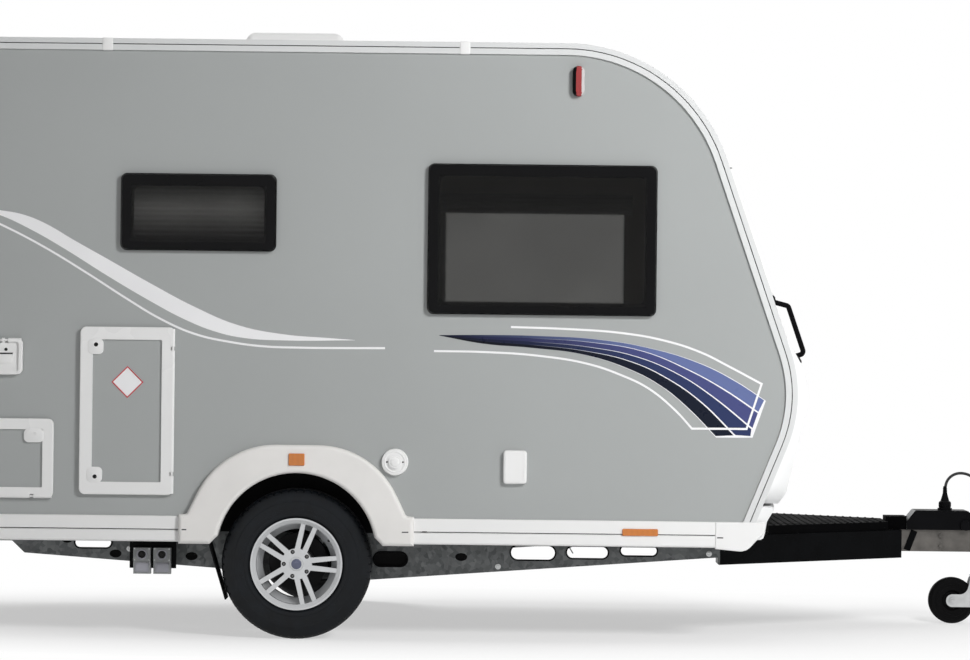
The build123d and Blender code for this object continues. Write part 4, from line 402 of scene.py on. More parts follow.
def begin(name, shape, **settings):
    """Adds one primitive and opens it in edit mode."""
    bpy.ops.object.select_all(action="DESELECT")
    getattr(bpy.ops.mesh, f"primitive_{shape}_add")(**settings)
    piece = bpy.context.active_object
    piece.name = piece.data.name = name
    bpy.ops.object.mode_set(mode="EDIT")
    return piece


def pick_faces(piece, test):
    """Selects the faces whose centre and normal pass a test."""
    bpy.ops.mesh.select_mode(type="FACE")
    bpy.ops.mesh.select_all(action="DESELECT")
    mesh = bmesh.from_edit_mesh(piece.data)
    for face in mesh.faces:
        face.select_set(bool(test(face.calc_center_median(), face.normal)))
    bmesh.update_edit_mesh(piece.data)


def pick_top(piece):
    """Selects the faces that point up."""
    pick_faces(piece, lambda centre, normal: normal.z > 0.9)


def settle(piece, place=(0, 0, 0), turn=(0, 0, 0)):
    """Closes edit mode and puts the form's place into its mesh."""
    if piece.mode == "EDIT":
        bpy.ops.object.mode_set(mode="OBJECT")
    piece.location = place
    piece.rotation_euler = turn
    choose(piece)
    bpy.ops.object.transform_apply(location=True, rotation=True, scale=True)
    return piece


def apply_modifier(piece, kind, **settings):
    """Adds a modifier and applies it."""
    modifier = piece.modifiers.new(kind.lower(), kind)
    for key, value in settings.items():
        setattr(modifier, key, value)
    bpy.context.view_layer.objects.active = piece
    bpy.ops.object.modifier_apply(modifier=modifier.name)


def copy_of(piece, name, move):
    """A copy with its own mesh, moved, turned or mirrored by a matrix."""
    twin = piece.copy()
    twin.data = piece.data.copy()
    twin.name = twin.data.name = name
    bpy.context.scene.collection.objects.link(twin)
    twin.data.transform(move)
    if move.determinant() < 0:
        twin.data.flip_normals()
    return twin


def stamp(pattern, moves, keep=False):
    """Copies of a pattern, one for each matrix; the pattern then goes, unless it is kept."""
    copies = [copy_of(pattern, pattern.name, move) for move in moves]
    if not keep:
        bpy.data.objects.remove(pattern)
    return copies


def set_at(places, turn=RIGHT_TURN):
    """Matrices that turn a form and set it at places in axle millimetres."""
    return [Matrix.Translation(at(*place)) @ turn for place in places]


def set_round(count, reach):
    """Matrices that move a form out by the same reach and then turn it round the local Z axis."""
    return [Matrix.Rotation(math.radians(360 / count * k), 4, "Z") @ Matrix.Translation(reach)
            for k in range(count)]


def join(name, pieces):
    """Makes one piece of several."""
    bpy.ops.object.select_all(action="DESELECT")
    for piece in pieces:
        piece.select_set(True)
    bpy.context.view_layer.objects.active = pieces[0]
    bpy.ops.object.join()
    pieces[0].name = pieces[0].data.name = name
    return pieces[0]


def both_sides(name, pieces):
    """Joins pieces on the right-hand side with their mirror images on the left."""
    right = join(name, pieces)
    return join(name, [right, copy_of(right, name, MIRROR)])


def dress(piece, material, body="body", crease=35):
    """Gives a finished piece its material, shading and body."""
    if material:
        piece.data.materials.clear()
        piece.data.materials.append(material)
    choose(piece)
    bpy.ops.object.shade_smooth_by_angle(angle=math.radians(crease))
    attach(piece, body)
    print(piece.name, "has", len(piece.data.polygons), "faces")
    return piece


print("modelling tools are ready")

# %% [markdown]
# ## Turned forms, frames and bolts
# Most small fittings are turned, framed or hexagonal. A turned form is a line of points, drawn by
# extruding one vertex, and spun round an axis. A frame is a bridge between two rounded outlines, one
# inside the other, which lets a border be wider at its top. A bolt is a six-sided cylinder whose top
# is inset and drawn up, on a washer.

# %% Forms that repeat


def turned(name, profile, steps=40, sweep=360):
    """Spins a line of (radius, height) points, in millimetres, round the local Z axis."""
    piece = begin(name, "plane", size=0.001)
    bpy.ops.mesh.select_mode(type="VERT")
    bpy.ops.mesh.select_all(action="SELECT")
    bpy.ops.mesh.merge(type="CENTER")
    spot = Vector((0, 0, 0))
    for number, (radius, height) in enumerate(profile):
        goal = Vector((radius / 1000, 0, height / 1000))
        if number:
            bpy.ops.mesh.extrude_vertices_move(TRANSFORM_OT_translate={"value": goal - spot})
        else:
            bpy.ops.transform.translate(value=goal)
        spot = goal
    bpy.ops.mesh.select_all(action="SELECT")
    bpy.ops.mesh.spin(steps=steps, angle=math.radians(sweep), center=(0, 0, 0), axis=(0, 0, 1))
    bpy.ops.mesh.select_all(action="SELECT")
    bpy.ops.mesh.remove_doubles(threshold=0.00001)
    bpy.ops.mesh.normals_make_consistent(inside=False)
    return piece


def rounded_sheet(name, wide, tall, corner):
    """Plane with rounded corners, still in edit mode; sizes in millimetres."""
    piece = begin(name, "plane", size=0.001)
    bpy.ops.transform.resize(value=(wide, tall, 1))
    bpy.ops.mesh.select_all(action="SELECT")
    bpy.ops.mesh.bevel(offset=corner / 1000, segments=6, affect="VERTICES")
    return piece


def rounded_pad(name, wide, tall, corner, high, rim, lift):
    """Rounded sheet drawn up into a pad, its middle lifted or sunk inside a rim; in millimetres."""
    piece = rounded_sheet(name, wide, tall, corner)
    bpy.ops.mesh.select_all(action="SELECT")
    bpy.ops.mesh.extrude_region_move(TRANSFORM_OT_translate={"value": (0, 0, high / 1000)})
    bpy.ops.mesh.inset(thickness=rim / 1000, depth=lift / 1000)
    bpy.ops.mesh.select_all(action="SELECT")
    bpy.ops.mesh.normals_make_consistent(inside=False)
    return piece


def rounded_frame(name, wide, tall, corner, border, thick, drop=0.0):
    """Ring between two rounded outlines, bridged and thickened; sizes in millimetres."""
    rims = []
    for less, lower in ((0, 0), (2 * border, drop)):
        rim = rounded_sheet(name, wide - less, tall - less, max(corner - less / 2, 0.35 * corner))
        bpy.ops.mesh.delete(type="ONLY_FACE")
        rims.append(settle(rim, (0, -lower / 1000, 0)))
    piece = join(name, rims)
    bpy.ops.object.mode_set(mode="EDIT")
    bpy.ops.mesh.select_mode(type="EDGE")
    bpy.ops.mesh.select_all(action="SELECT")
    bpy.ops.mesh.bridge_edge_loops()
    pick_faces(piece, lambda centre, normal: normal.z < 0)
    bpy.ops.mesh.flip_normals()
    bpy.ops.object.mode_set(mode="OBJECT")
    apply_modifier(piece, "SOLIDIFY", thickness=thick / 1000, offset=1.0)
    apply_modifier(piece, "BEVEL", width=thick / 3500, segments=2, limit_method="ANGLE")
    return piece


def soft_block(name, size, radius, segments=3):
    """Block with rounded edges; sizes in millimetres."""
    piece = begin(name, "cube", size=0.001)
    bpy.ops.transform.resize(value=size)
    bpy.ops.mesh.bevel(offset=radius / 1000, segments=segments, affect="EDGES")
    return piece


def tapered_block(name, size, radius, top, segments=3):
    """Soft block whose upper face is drawn in by shares of its own size."""
    piece = soft_block(name, size, radius, segments)
    pick_top(piece)
    bpy.ops.transform.resize(value=top)
    return piece


def hex_bolt(name, radius, tall):
    """Washer and crowned hexagon head, standing on the local XY plane; sizes in millimetres."""
    rim = 1.45 * radius
    washer = settle(turned(name, [(0, 0), (rim, 0), (rim, 1.2), (1.3 * radius, 1.6), (0, 1.6)], 20))
    head = begin(name + "_head", "cylinder", vertices=6, radius=radius / 1000, depth=tall / 1000)
    pick_top(head)
    bpy.ops.mesh.inset(thickness=radius / 8000)
    bpy.ops.transform.translate(value=(0, 0, radius / 9000))
    bpy.ops.mesh.inset(thickness=radius / 3500)
    bpy.ops.transform.translate(value=(0, 0, -radius / 14000))
    settle(head, (0, 0, 0.0016 + tall / 2000))
    return join(name, [washer, head])


def screw_head(name, radius):
    """Low round screw head with a socket sunk in its middle; radius in millimetres."""
    tall = 0.55 * radius
    rim = [(0, -0.5), (radius, -0.5), (radius, 0.4 * tall), (0.82 * radius, 0.85 * tall)]
    socket = [(0.5 * radius, tall), (0.42 * radius, tall), (0.40 * radius, 0.4 * tall), (0, 0.35 * tall)]
    return settle(turned(name, rim + socket, 18))


print("forms that repeat are ready")

# %% [markdown]
# ## Tyres
# A road tyre is a body of revolution with grooves round it and cross cuts in its tread. The section,
# with a rim guard, side-wall ribs and four grooves, is spun in many small steps. The faces of some
# steps are then pushed in to part the tread into blocks, or out to raise the fine ribs of the side
# wall. That keeps the tyre one closed mesh, which cutting with other solids would break up.

# %% Right and left tyre
TYRE_STEPS = 240
# Radius and distance from the tyre's middle, from the bead to the innermost groove.
HALF_SECTION = [
    (180, 75.5), (197.2, 75.5), (203, 82), (208, 87.4), (213, 88.6), (216, 91), (221, 91.2), (224, 89.6),
    (236, 91.4), (250, 92.3), (262, 91.8), (263.5, 92.6), (266.5, 92.4), (268, 91), (278, 89.4), (286, 86.8),
    (296, 82), (304, 78), (310, 74.2), (315, 69), (318.5, 63), (319.6, 57),
    (319.8, 46.2), (312, 45.2), (312, 38.8), (320, 37.8), (320, 18.2), (312, 17.2), (312, 10.8), (320, 9.8),
]
tyre_section = HALF_SECTION + [(r, -h) for r, h in reversed(HALF_SECTION)] + HALF_SECTION[:1]
tyre_right = turned("road_tyre_right", tyre_section, TYRE_STEPS)


def tyre_step(centre):
    """Number of the step of the spin that a face belongs to."""
    return int(math.degrees(math.atan2(centre.y, centre.x)) % 360 / (360 / TYRE_STEPS))


def push(depth):
    """Draws the selected faces out along their normals, or in where the depth is negative."""
    bpy.ops.mesh.extrude_region_shrink_fatten(TRANSFORM_OT_shrink_fatten={"value": depth})


def shoulder_cut(c, n):
    """Every fourth step of the tread's shoulders."""
    return (0.0465 < abs(c.z) < 0.0775 and c.xy.length > 0.302 and n.xy.length > 0.35
            and tyre_step(c) % 4 == 0)


def rib_cut(c, n):
    """Every fourth step of the two ribs beside the middle, half way between the shoulder cuts."""
    return (0.0185 < abs(c.z) < 0.0375 and c.xy.length > 0.3185 and n.xy.length > 0.35
            and tyre_step(c) % 4 == 2)


def wall_rib(c, n):
    """Every second step of a narrow ring on the side walls."""
    return abs(c.z) > 0.089 and 0.225 < c.xy.length < 0.2355 and tyre_step(c) % 2


for test, depth in ((shoulder_cut, -0.006), (rib_cut, -0.005), (wall_rib, 0.0006)):
    pick_faces(tyre_right, test)
    push(depth)
settle(tyre_right, WHEEL_CENTRE, FACE_RIGHT)
tyre_left = copy_of(tyre_right, "road_tyre_left", Matrix.Translation((0, 2 * WHEEL_Y, 0)))
for side, tyre in (("right", tyre_right), ("left", tyre_left)):
    dress(tyre, tyre_rubber, "wheel_" + side, 28)
    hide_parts("tyre_" + side)

# %% [markdown]
# ## Wheel nuts, cap and valve
# Five nuts sit deep in holes whose walls are painted dark as shade, a blank cap with a coloured middle
# closes the hub, and a rubber valve stands beside a pair of spokes. The flanks of the spokes are painted
# darker than their faces, as painted shade. One nut is modelled, and copies of it are turned round the axle.

# %% Painted shade on the flanks and holes of the rims
nut_zinc = finish("nut_zinc", (0.17, 0.17, 0.17), 0.3, vary=0.15, patch=60, grain=0.1, metal=0.7)
spoke_painted_shade = finish("spoke_painted_shade", (0.15, 0.155, 0.16), 0.4, vary=0.1, patch=30, grain=0.05, metal=0.6)
cap_insert = finish("cap_insert", (0.085, 0.095, 0.16), 0.25, vary=0.12, patch=60, grain=0.03, coat=0.4)
valve_rubber = finish("valve_rubber", (0.02, 0.02, 0.02), 0.5, vary=0.2, patch=80)
NUT_COUNT = 5
NUT_CIRCLE = 0.054
NUT_SEAT = 0.0496
NUT_HOLE_R = 0.0092
SPOKES_FROM, SPOKES_TO = 0.066, 0.158
nut_turns = [math.radians(360 / NUT_COUNT * k) for k in range(NUT_COUNT)]
nut_holes = [Vector((AXLE_X - NUT_CIRCLE * math.cos(turn), TYRE_R - NUT_CIRCLE * math.sin(turn)))
             for turn in nut_turns]


def from_axle(c):
    """Distance of a point from the axle line."""
    return math.hypot(c.x - AXLE_X, c.z - TYRE_R)


def on_spoke_flank(c, n):
    """Faces of the spokes that don't look outwards."""
    return abs(n.y) < 0.45 and SPOKES_FROM < from_axle(c) < SPOKES_TO


def in_nut_hole(c, n):
    """Faces inside one of the nuts' holes."""
    return min((Vector((c.x, c.z)) - hole).length for hole in nut_holes) < NUT_HOLE_R


# Painted shade: darker silver on the spokes' flanks, and the dark cast finish inside the nuts' holes.
for rim in ("rim_right", "rim_left"):
    paint_where(rim, spoke_painted_shade, on_spoke_flank)
    paint_where(rim, cast_drum_and_hole_shade, in_nut_hole)

# %% Nuts, caps and valves
VALVE_REACH = Vector((0.1345, 0, 0.0977))
CAP_INSERT_R = 0.0215
cap_line = [(0, 73.5), (12, 73.3), (20, 72.6), (22, 71.8), (23, 71.0), (24.5, 71.0), (25.5, 72.0),
            (28, 71.4), (29.5, 70), (30, 68.2), (0, 68.2)]
valve_line = [(0, 60), (3.4, 60), (4.2, 58.5), (4.2, 50), (3.6, 49), (3.6, 44), (5.2, 38), (6.2, 30), (0, 30)]
nuts = stamp(hex_bolt("wheel_nut", 5.6, 12), set_round(NUT_COUNT, (-NUT_CIRCLE, 0, NUT_SEAT)))
wheel_nuts = settle(join("wheel_nuts_right", nuts), WHEEL_CENTRE, FACE_RIGHT)
hub_cap = settle(turned("hub_cap_right", cap_line, 48), WHEEL_CENTRE, FACE_RIGHT)
valve = settle(turned("tyre_valve_right", valve_line, 20), WHEEL_CENTRE + VALVE_REACH, FACE_RIGHT)
for piece, material, slot in ((wheel_nuts, nut_zinc, "zinc"), (hub_cap, silver_lacquer, "alloy"),
                              (valve, valve_rubber, "black_rubber")):
    left = copy_of(piece, piece.name.replace("right", "left"), MIRROR)
    dress(piece, material, "wheel_right")
    dress(left, material, "wheel_left")
for cap in (hub_cap, bpy.data.objects["hub_cap_left"]):
    cap.data.materials.append(cap_insert)
    for face in cap.data.polygons:
        face.material_index = int(from_axle(face.center) < CAP_INSERT_R)

# %% [markdown]
# ## Window borders
# The panes lap over the wall, and a broad black band round each one hides the frame. It is wider at
# the top, where the hinge rail lies. Two rounded outlines, the inner one set lower, are bridged and
# given a little thickness, so that the band's edge catches a line of light.

# %% Black bands on the panes
black_gloss = finish("black_gloss_band", (0.003, 0.003, 0.0035), 0.1, vary=0.2, patch=3, grain=0.02,
                     grain_scale=200, gloss=0.1)
BIG_X, BIG_Z = 1031, 1711
SMALL_X, SMALL_Z = -429, 1812
# Middle x and z, width and height of the big and the small window.
WINDOWS = [(BIG_X, BIG_Z, 974, 640), (SMALL_X, SMALL_Z, 662, 328)]
PANE_FACE_Y = -1054.1
PANE_EDGE = 13
bands = []
for x, z, wide, tall in WINDOWS:
    band = rounded_frame("window_band", wide - PANE_EDGE, tall - PANE_EDGE, 22, 38, 1.4, 7)
    bands.append(settle(band, at(x, PANE_FACE_Y, z), FACE_RIGHT))
bands.append(copy_of(bands[0], "window_band_left", MIRROR))
dress(join("window_bands", bands), black_gloss, crease=50)
door_band = rounded_frame("door_window_band", 322, 612, 24, 30, 1.2, 4)
settle(door_band, at(-1000, 1049.4, 1816), FACE_LEFT)
dress(door_band, black_gloss, "entry_door", 50)

# %% [markdown]
# ## Blinds
# A pleated blind closes the small window. Others cover the top and the foot of the far window, so
# that less of it shows through. Pleats come from a grid whose every second row is pushed back. The
# cloth's colour is painted light and shade: pale at the height of the small window's middle, and darker
# above and below, in place of how light falls on it through the pane.

# %% Pleated blinds
PLEAT = 22
BLIND_Y = 984


def painted_shade_blind(name, pale, dark, middle):
    """Cloth with painted light and shade: pale at one height and dark towards its top and foot."""
    material, tree, shader = start_material(name)
    split = add_node(tree, "SeparateXYZ", {"Vector": object_place(tree)})
    apart = add_node(tree, "Math", {0: split.outputs["Z"], 1: middle}, operation="SUBTRACT")
    away = add_node(tree, "Math", {0: apart.outputs["Value"]}, operation="ABSOLUTE")
    feed(tree, shader, {
        "Base Color": ramp(tree, away.outputs["Value"], pale, dark, 0.01, 0.125),
        "Roughness": spread(tree, object_noise(tree, 300), 0.75, 0.95),
    })
    return material


def pleated(name, wide, tall):
    """Grid that stands up with a zigzag of pleats across it; sizes in millimetres."""
    rows = 2 * round(tall / PLEAT)
    piece = begin(name, "grid", x_subdivisions=4, y_subdivisions=rows, size=1)
    bpy.ops.transform.resize(value=(wide / 1000, tall / 1000, 1))
    bpy.ops.mesh.select_mode(type="VERT")
    mesh = bmesh.from_edit_mesh(piece.data)
    step = tall / 1000 / rows
    for vertex in mesh.verts:
        vertex.select_set(round((vertex.co.y + tall / 2000) / step) % 2 == 1)
    bmesh.update_edit_mesh(piece.data)
    bpy.ops.transform.translate(value=(0, 0, 0.007))
    bpy.ops.object.mode_set(mode="OBJECT")
    apply_modifier(piece, "SOLIDIFY", thickness=0.0008, offset=0)
    return piece


# Painted light and shade on the blinds: pale at the small window's middle, dark above and below.
blind_painted_shade = painted_shade_blind("blind_painted_shade", (0.80, 0.80, 0.79), (0.05, 0.05, 0.05), 1.83)
small_blind = settle(pleated("small_window_blind", 640, 308), at(SMALL_X, -BLIND_Y, SMALL_Z), FACE_RIGHT)
far_blind = settle(pleated("far_window_blind", 950, 96), at(BIG_X, BLIND_Y, 1944), FACE_LEFT)
sill_blind = settle(pleated("far_window_sill_blind", 950, 52), at(BIG_X, BLIND_Y, 1438), FACE_LEFT)
blinds = join("window_blinds", [small_blind, far_blind, sill_blind])
dress(blinds, blind_painted_shade, crease=20)

# %% [markdown]
# ## Stripes
# The stripes are cut from coloured film and stuck to the flat wall. They could be painted by a
# texture, but a cut outline stays crisp at any distance. A closed curve of a few points with smooth
# handles gives their flowing edges, and sharp handles give their corners. The flat curve is made a
# mesh, stood up, and set a hair off the wall. The other side of the caravan has their mirror image.

# %% Film and its cutting
white_film = finish("white_film", (0.88, 0.88, 0.89), 0.32, vary=0.02, patch=4, grain=0.03, grain_scale=400)
stripes_right = []


def cut_film(name, outline, material, proud):
    """Film on the right wall from a closed outline of (x, z, sharp) in axle millimetres."""
    curve = bpy.data.curves.new(name, "CURVE")
    curve.dimensions = "2D"
    curve.fill_mode = "BOTH"
    curve.extrude = 0.0001
    curve.resolution_u = 6
    edge = curve.splines.new("BEZIER")
    edge.bezier_points.add(len(outline) - 1)
    edge.use_cyclic_u = True
    for point, (x, z, sharp) in zip(edge.bezier_points, outline):
        point.co = (x / 1000 + AXLE_X, z / 1000, 0)
        point.handle_left_type = point.handle_right_type = "VECTOR" if sharp else "AUTO"
    choose(add_object(name, curve))
    bpy.ops.object.convert(target="MESH")
    film = settle(bpy.context.active_object, (0, -SIDE - proud / 1000, 0), FACE_RIGHT)
    film.data.materials.clear()
    film.data.materials.append(material)
    stripes_right.append(film)


def between(upper, lower):
    """Closed outline from an upper and a lower edge, sharp where they end."""
    edges = [[(x, z, number in (0, len(edge) - 1)) for number, (x, z) in enumerate(edge)]
             for edge in (upper, lower)]
    return edges[0] + edges[1][::-1]


def line_outline(points, wide, corners=()):
    """Outline of a line of even width, with mitred corners where they are named."""
    sides = ([], [])
    last = len(points) - 1
    for number, point in enumerate(points):
        here = Vector(point)
        into = (here - Vector(points[number - 1])).normalized() if number > 0 else None
        away = (Vector(points[number + 1]) - here).normalized() if number < last else None
        across = [Vector((-run.y, run.x)) for run in (into, away) if run]
        normal = sum(across, Vector((0, 0))).normalized()
        reach = wide / 2 / max(0.3, normal.dot(across[0]))
        sharp = number in (0, last, *corners)
        sides[0].append((*(here + normal * reach), sharp))
        sides[1].append((*(here - normal * reach), sharp))
    return sides[0] + sides[1][::-1]


print("film is ready to cut")

# %% White sweep behind the axle
FILM_LINE = 9
SWEEP_TOP = [(-1505, 1836), (-1390, 1826), (-1275, 1812), (-1181, 1796), (-1092, 1763), (-951, 1684),
             (-814, 1609), (-626, 1505), (-442, 1410), (-258, 1335), (-71, 1299), (134, 1284), (240, 1277)]
SWEEP_FOOT = [(-1505, 1834), (-1390, 1821), (-1275, 1791), (-1138, 1729), (-997, 1650), (-813, 1537),
              (-625, 1429), (-488, 1358), (-347, 1304), (-228, 1280), (-60, 1272), (240, 1276)]
SWEEP_LINE = [(-1400, 1806), (-1274, 1753), (-1091, 1661), (-902, 1549), (-722, 1436), (-586, 1357),
              (-440, 1295), (-291, 1263), (-147, 1246), (20, 1242), (134, 1242), (368, 1244)]
cut_film("sweep_band", between(SWEEP_TOP, SWEEP_FOOT), white_film, 0.3)
cut_film("sweep_line", line_outline(SWEEP_LINE, FILM_LINE), white_film, 0.3)
print("white sweep:", len(stripes_right), "films")

# %% [markdown]
# ## Blue fan
# Ahead of the axle four blue bands fan out from a point, parted by pale lines. A sheet of the whole
# shape lies below, dark at the point and white further along, and each band is cut a little smaller
# than its share, so that the sheet shows as the lines. The bands darken towards the point too, so
# their colour follows the distance along the caravan.

# %% Printed blues
# Edges of the bands, from the top one down, each from the point to the foot.
FAN = [
    [(599, 1302), (801, 1305), (1030, 1303), (1256, 1293), (1485, 1259),
     (1711, 1194), (1861, 1121), (1989, 1039)],
    [(599, 1301), (796, 1297), (1022, 1292), (1243, 1279), (1466, 1243),
     (1662, 1164), (1811, 1084), (1964, 984)],
    [(599, 1301), (792, 1288), (1013, 1277), (1230, 1259), (1440, 1219),
     (1620, 1145), (1761, 1055), (1941, 912)],
    [(599, 1300), (788, 1279), (1005, 1264), (1222, 1241), (1416, 1198),
     (1576, 1125), (1714, 1030), (1865, 883)],
    [(599, 1300), (784, 1268), (997, 1252), (1210, 1226), (1397, 1169),
     (1538, 1098), (1658, 1002), (1779, 880)],
]
FAN_CORNER = (1934, 881)
CORNER_BAND = 2
CORNER_INSET = (-9, 7)
LINE_SHARE = 0.05
# Name, colour at the point and colour further along.
BAND_BLUES = [
    ("fan_sky", (0.012, 0.014, 0.034), (0.130, 0.165, 0.345)),
    ("fan_violet", (0.007, 0.008, 0.026), (0.066, 0.075, 0.205)),
    ("fan_slate", (0.004, 0.005, 0.014), (0.028, 0.040, 0.110)),
    ("fan_ink", (0.002, 0.003, 0.006), (0.006, 0.009, 0.020)),
]


def band_blue(name, dark, light, start=640, end=1560):
    """Printed film that brightens along X, with the faint mottling of print."""
    material, tree, shader = start_material(name)
    split = add_node(tree, "SeparateXYZ", {"Vector": object_place(tree)})
    along = add_node(tree, "MapRange", {"Value": split.outputs["X"], "From Min": at(start, 0, 0).x,
                                        "From Max": at(end, 0, 0).x})
    mottle = add_node(tree, "Math", {0: object_noise(tree, 9), 1: 0.10, 2: along.outputs["Result"]},
                      operation="MULTIPLY_ADD")
    feed(tree, shader, {
        "Base Color": ramp(tree, mottle.outputs["Value"], dark, light, 0.08, 1.0),
        "Roughness": spread(tree, object_noise(tree, 30), 0.26, 0.34),
        "Specular IOR Level": 0.15,
    })
    return material


print("blue bands:", [name for name, dark, light in BAND_BLUES])

# %% Blue fan and its white outline
OUTLINE = [(902, 1340), (1140, 1334), (1370, 1320), (1553, 1290), (1711, 1241), (1826, 1185), (1970, 1110),
           (1908, 918), (1676, 917), (1603, 995), (1487, 1087), (1372, 1141), (1235, 1186), (1031, 1218),
           (801, 1232), (576, 1234)]
OUTLINE_CORNERS = (6, 7, 8)


def mid(a, b, share):
    """Point a share of the way from one to another."""
    return tuple(Vector(a).lerp(Vector(b), share))


fan_lines = band_blue("fan_lines", (0.02, 0.024, 0.055), (0.86, 0.86, 0.88), 960, 1380)
sheet = between(FAN[0], FAN[-1])
sheet.insert(len(FAN[0]), (*FAN_CORNER, True))
cut_film("fan_sheet", sheet, fan_lines, 0.3)
for number, (name, dark, light) in enumerate(BAND_BLUES):
    pairs = list(zip(FAN[number], FAN[number + 1]))
    edges = [[mid(a, b, share) for a, b in pairs] for share in (LINE_SHARE, 1 - LINE_SHARE)]
    for edge in edges:
        edge[-1] = mid(edge[-1], edge[-2], LINE_SHARE)
    outline = between(*edges)
    if number == CORNER_BAND:
        inset_corner = Vector(FAN_CORNER) + Vector(CORNER_INSET)
        outline.insert(len(pairs), (*inset_corner, True))
    cut_film(name, outline, band_blue(name, dark, light), 0.6)
cut_film("fan_outline", line_outline(OUTLINE, FILM_LINE, OUTLINE_CORNERS), white_film, 0.9)
print("films on the right wall:", len(stripes_right))

# %% Films on the left wall, cut away at the entry door
DOOR_FRONT = at(-679, 0, 0)
stripes_left = [copy_of(film, film.name + "_left", MIRROR) for film in stripes_right]
sweep_films = stripes_left[:2]
for film in sweep_films:
    choose(film)
    bpy.ops.object.mode_set(mode="EDIT")
    bpy.ops.mesh.select_all(action="SELECT")
    bpy.ops.mesh.bisect(plane_co=DOOR_FRONT, plane_no=(1, 0, 0), clear_inner=True, use_fill=True)
    bpy.ops.object.mode_set(mode="OBJECT")
dress(join("stripes_right", stripes_right), None, crease=1)
dress(join("stripes_left", stripes_left), None, crease=1)

# %% [markdown]
# ## Locks and panels of the hatches
# The hatches are filled with the wall's own grey sheet inside a white frame. Each lock is a round
# barrel, on the hatches in a raised white pad beside the frame. The pads are rounded sheets drawn up,
# with a low bevel from an inset. One barrel is turned, and stamped for every lock.

# %% Grey panels in the hatches
HATCH_PANEL_Y, DOOR_PANEL_Y = -1.045, 1.041
NEAR = 0.0012
for name in ("gas_locker_door", "storage_hatch_door"):
    paint_where(name, side_skin, lambda c, n: n.y < -0.9 and abs(c.y - HATCH_PANEL_Y) < NEAR)
paint_where("entry_door", side_skin, lambda c, n: n.y > 0.9 and abs(c.y - DOOR_PANEL_Y) < NEAR)

# %% Lock pads
PAD_FOOT_Y = -1044.9
# Name, body, width and height, and the middles of the pads.
PADS = [
    ("gas_lock_pads", "gas_locker_door", (66, 66), [(-859, 1238), (-859, 694)]),
    ("storage_lock_pads", "storage_hatch_door", (84, 58), [(-1117, 857), (-1427, 857)]),
]
for name, body, size, places in PADS:
    pad = settle(rounded_pad("lock_pad", *size, corner=20, high=9.6, rim=3, lift=1.2))
    pads = stamp(pad, set_at([(x, PAD_FOOT_Y, z) for x, z in places]))
    dress(join(name, pads), white_moulding, body, 40)

# %% Lock barrels
lock_black = finish("lock_black", (0.006, 0.006, 0.006), 0.4, vary=0.25, patch=90, grain=0.1, gloss=0.2)
BARREL = [(0, -5.6), (8.6, -5.6), (8.6, -2.9), (7.8, -2.3), (5.4, -2.3), (4.8, -3.3), (0, -3.3)]
KEY_BAR = (1.6, 7.0, 1.0)
# Name, body, finish, turn and the places of the barrels.
LOCKS = [
    ("gas_locks", "gas_locker_door", lock_black, RIGHT_TURN, [(-857, -1059, 1246), (-857, -1059, 686)]),
    ("storage_locks", "storage_hatch_door", white_moulding, RIGHT_TURN,
     [(-1111, -1059, 865), (-1433, -1059, 865)]),
    ("door_locks", "entry_door", lock_black, LEFT_TURN,
     [(-761.25, 1052.3, 2183.75), (-761.25, 1052.3, 608.25)]),
]
bar = settle(soft_block("key_bar", KEY_BAR, 0.4, 2), (0, 0, -0.003))
barrel = join("lock_barrel", [settle(turned("lock_barrel", BARREL, 28)), bar])
for name, body, material, turn, places in LOCKS:
    barrels = stamp(barrel, set_at(places, turn), keep=True)
    dress(join(name, barrels), material, body)
bpy.data.objects.remove(barrel)

# %% [markdown]
# ## Handle, latch and sign
# The entry door has a plain pull handle on a plate, and the small lid a finger recess with an arched
# bead, a slot and a grip below it. A blank diamond sign is stuck on the gas locker's grey panel. The
# grips are soft blocks whose front is drawn in, as a mould needs, and the arch is half a spin.

# %% Handle of the entry door
plate = settle(soft_block("handle_plate", (36, 150, 6), 2.5), at(-711, 1051.5, 1390), FACE_LEFT)
grip = tapered_block("handle_grip", (20, 104, 16), 3, (0.7, 0.9, 1))
settle(grip, at(-711, 1060, 1402), FACE_LEFT)
dress(join("door_handle", [plate, grip]), black_plastic, "entry_door")

# %% Latch of the small lid
LATCH_X = -1246
bead = [(34, 0), (34.6, 1.6), (36.5, 2.2), (38.4, 1.6), (39, 0), (34, 0)]
arch = settle(turned("latch_arch", bead, 24, 180), at(LATCH_X, -1046.8, 1204), FACE_RIGHT)
grip = tapered_block("latch_grip", (62, 34, 5), 2, (0.86, 0.8, 1))
settle(grip, at(LATCH_X, -1049, 1180), FACE_RIGHT)
dress(join("lid_latch", [arch, grip]), white_moulding, "inlet_lid")
slot = settle(soft_block("latch_slot", (72, 6, 1.6), 0.6, 2), at(LATCH_X, -1047.2, 1204), FACE_RIGHT)
hole = turned("latch_hole", [(0, -0.2), (7, -0.2), (7, 0.8), (5.6, 1.3), (4.6, 0.5), (0, 0.4)], 24)
settle(hole, at(-1240, -1047, 1221), FACE_RIGHT)
dress(join("lid_keyhole", [slot, hole]), lock_black, "inlet_lid")

# %% Blank sign
sign_red = finish("sign_red", (0.52, 0.018, 0.03), 0.4, vary=0.06, patch=20, grain=0.05)
edge = settle(rounded_frame("sign_edge", 96, 96, 1.5, 4.5, 0.5), (0, 0, 0.0003))
sheet = settle(soft_block("sign_sheet", (95, 95, 0.5), 0.2, 1))
edge.data.materials.append(sign_red)
sheet.data.materials.append(white_film)
sign = join("blank_sign", [sheet, edge])
sign.data.transform(Matrix.Rotation(math.radians(45), 4, "Z"))
settle(sign, at(-723, -1045.3, 1088), FACE_RIGHT)
dress(sign, None, "gas_locker_door")
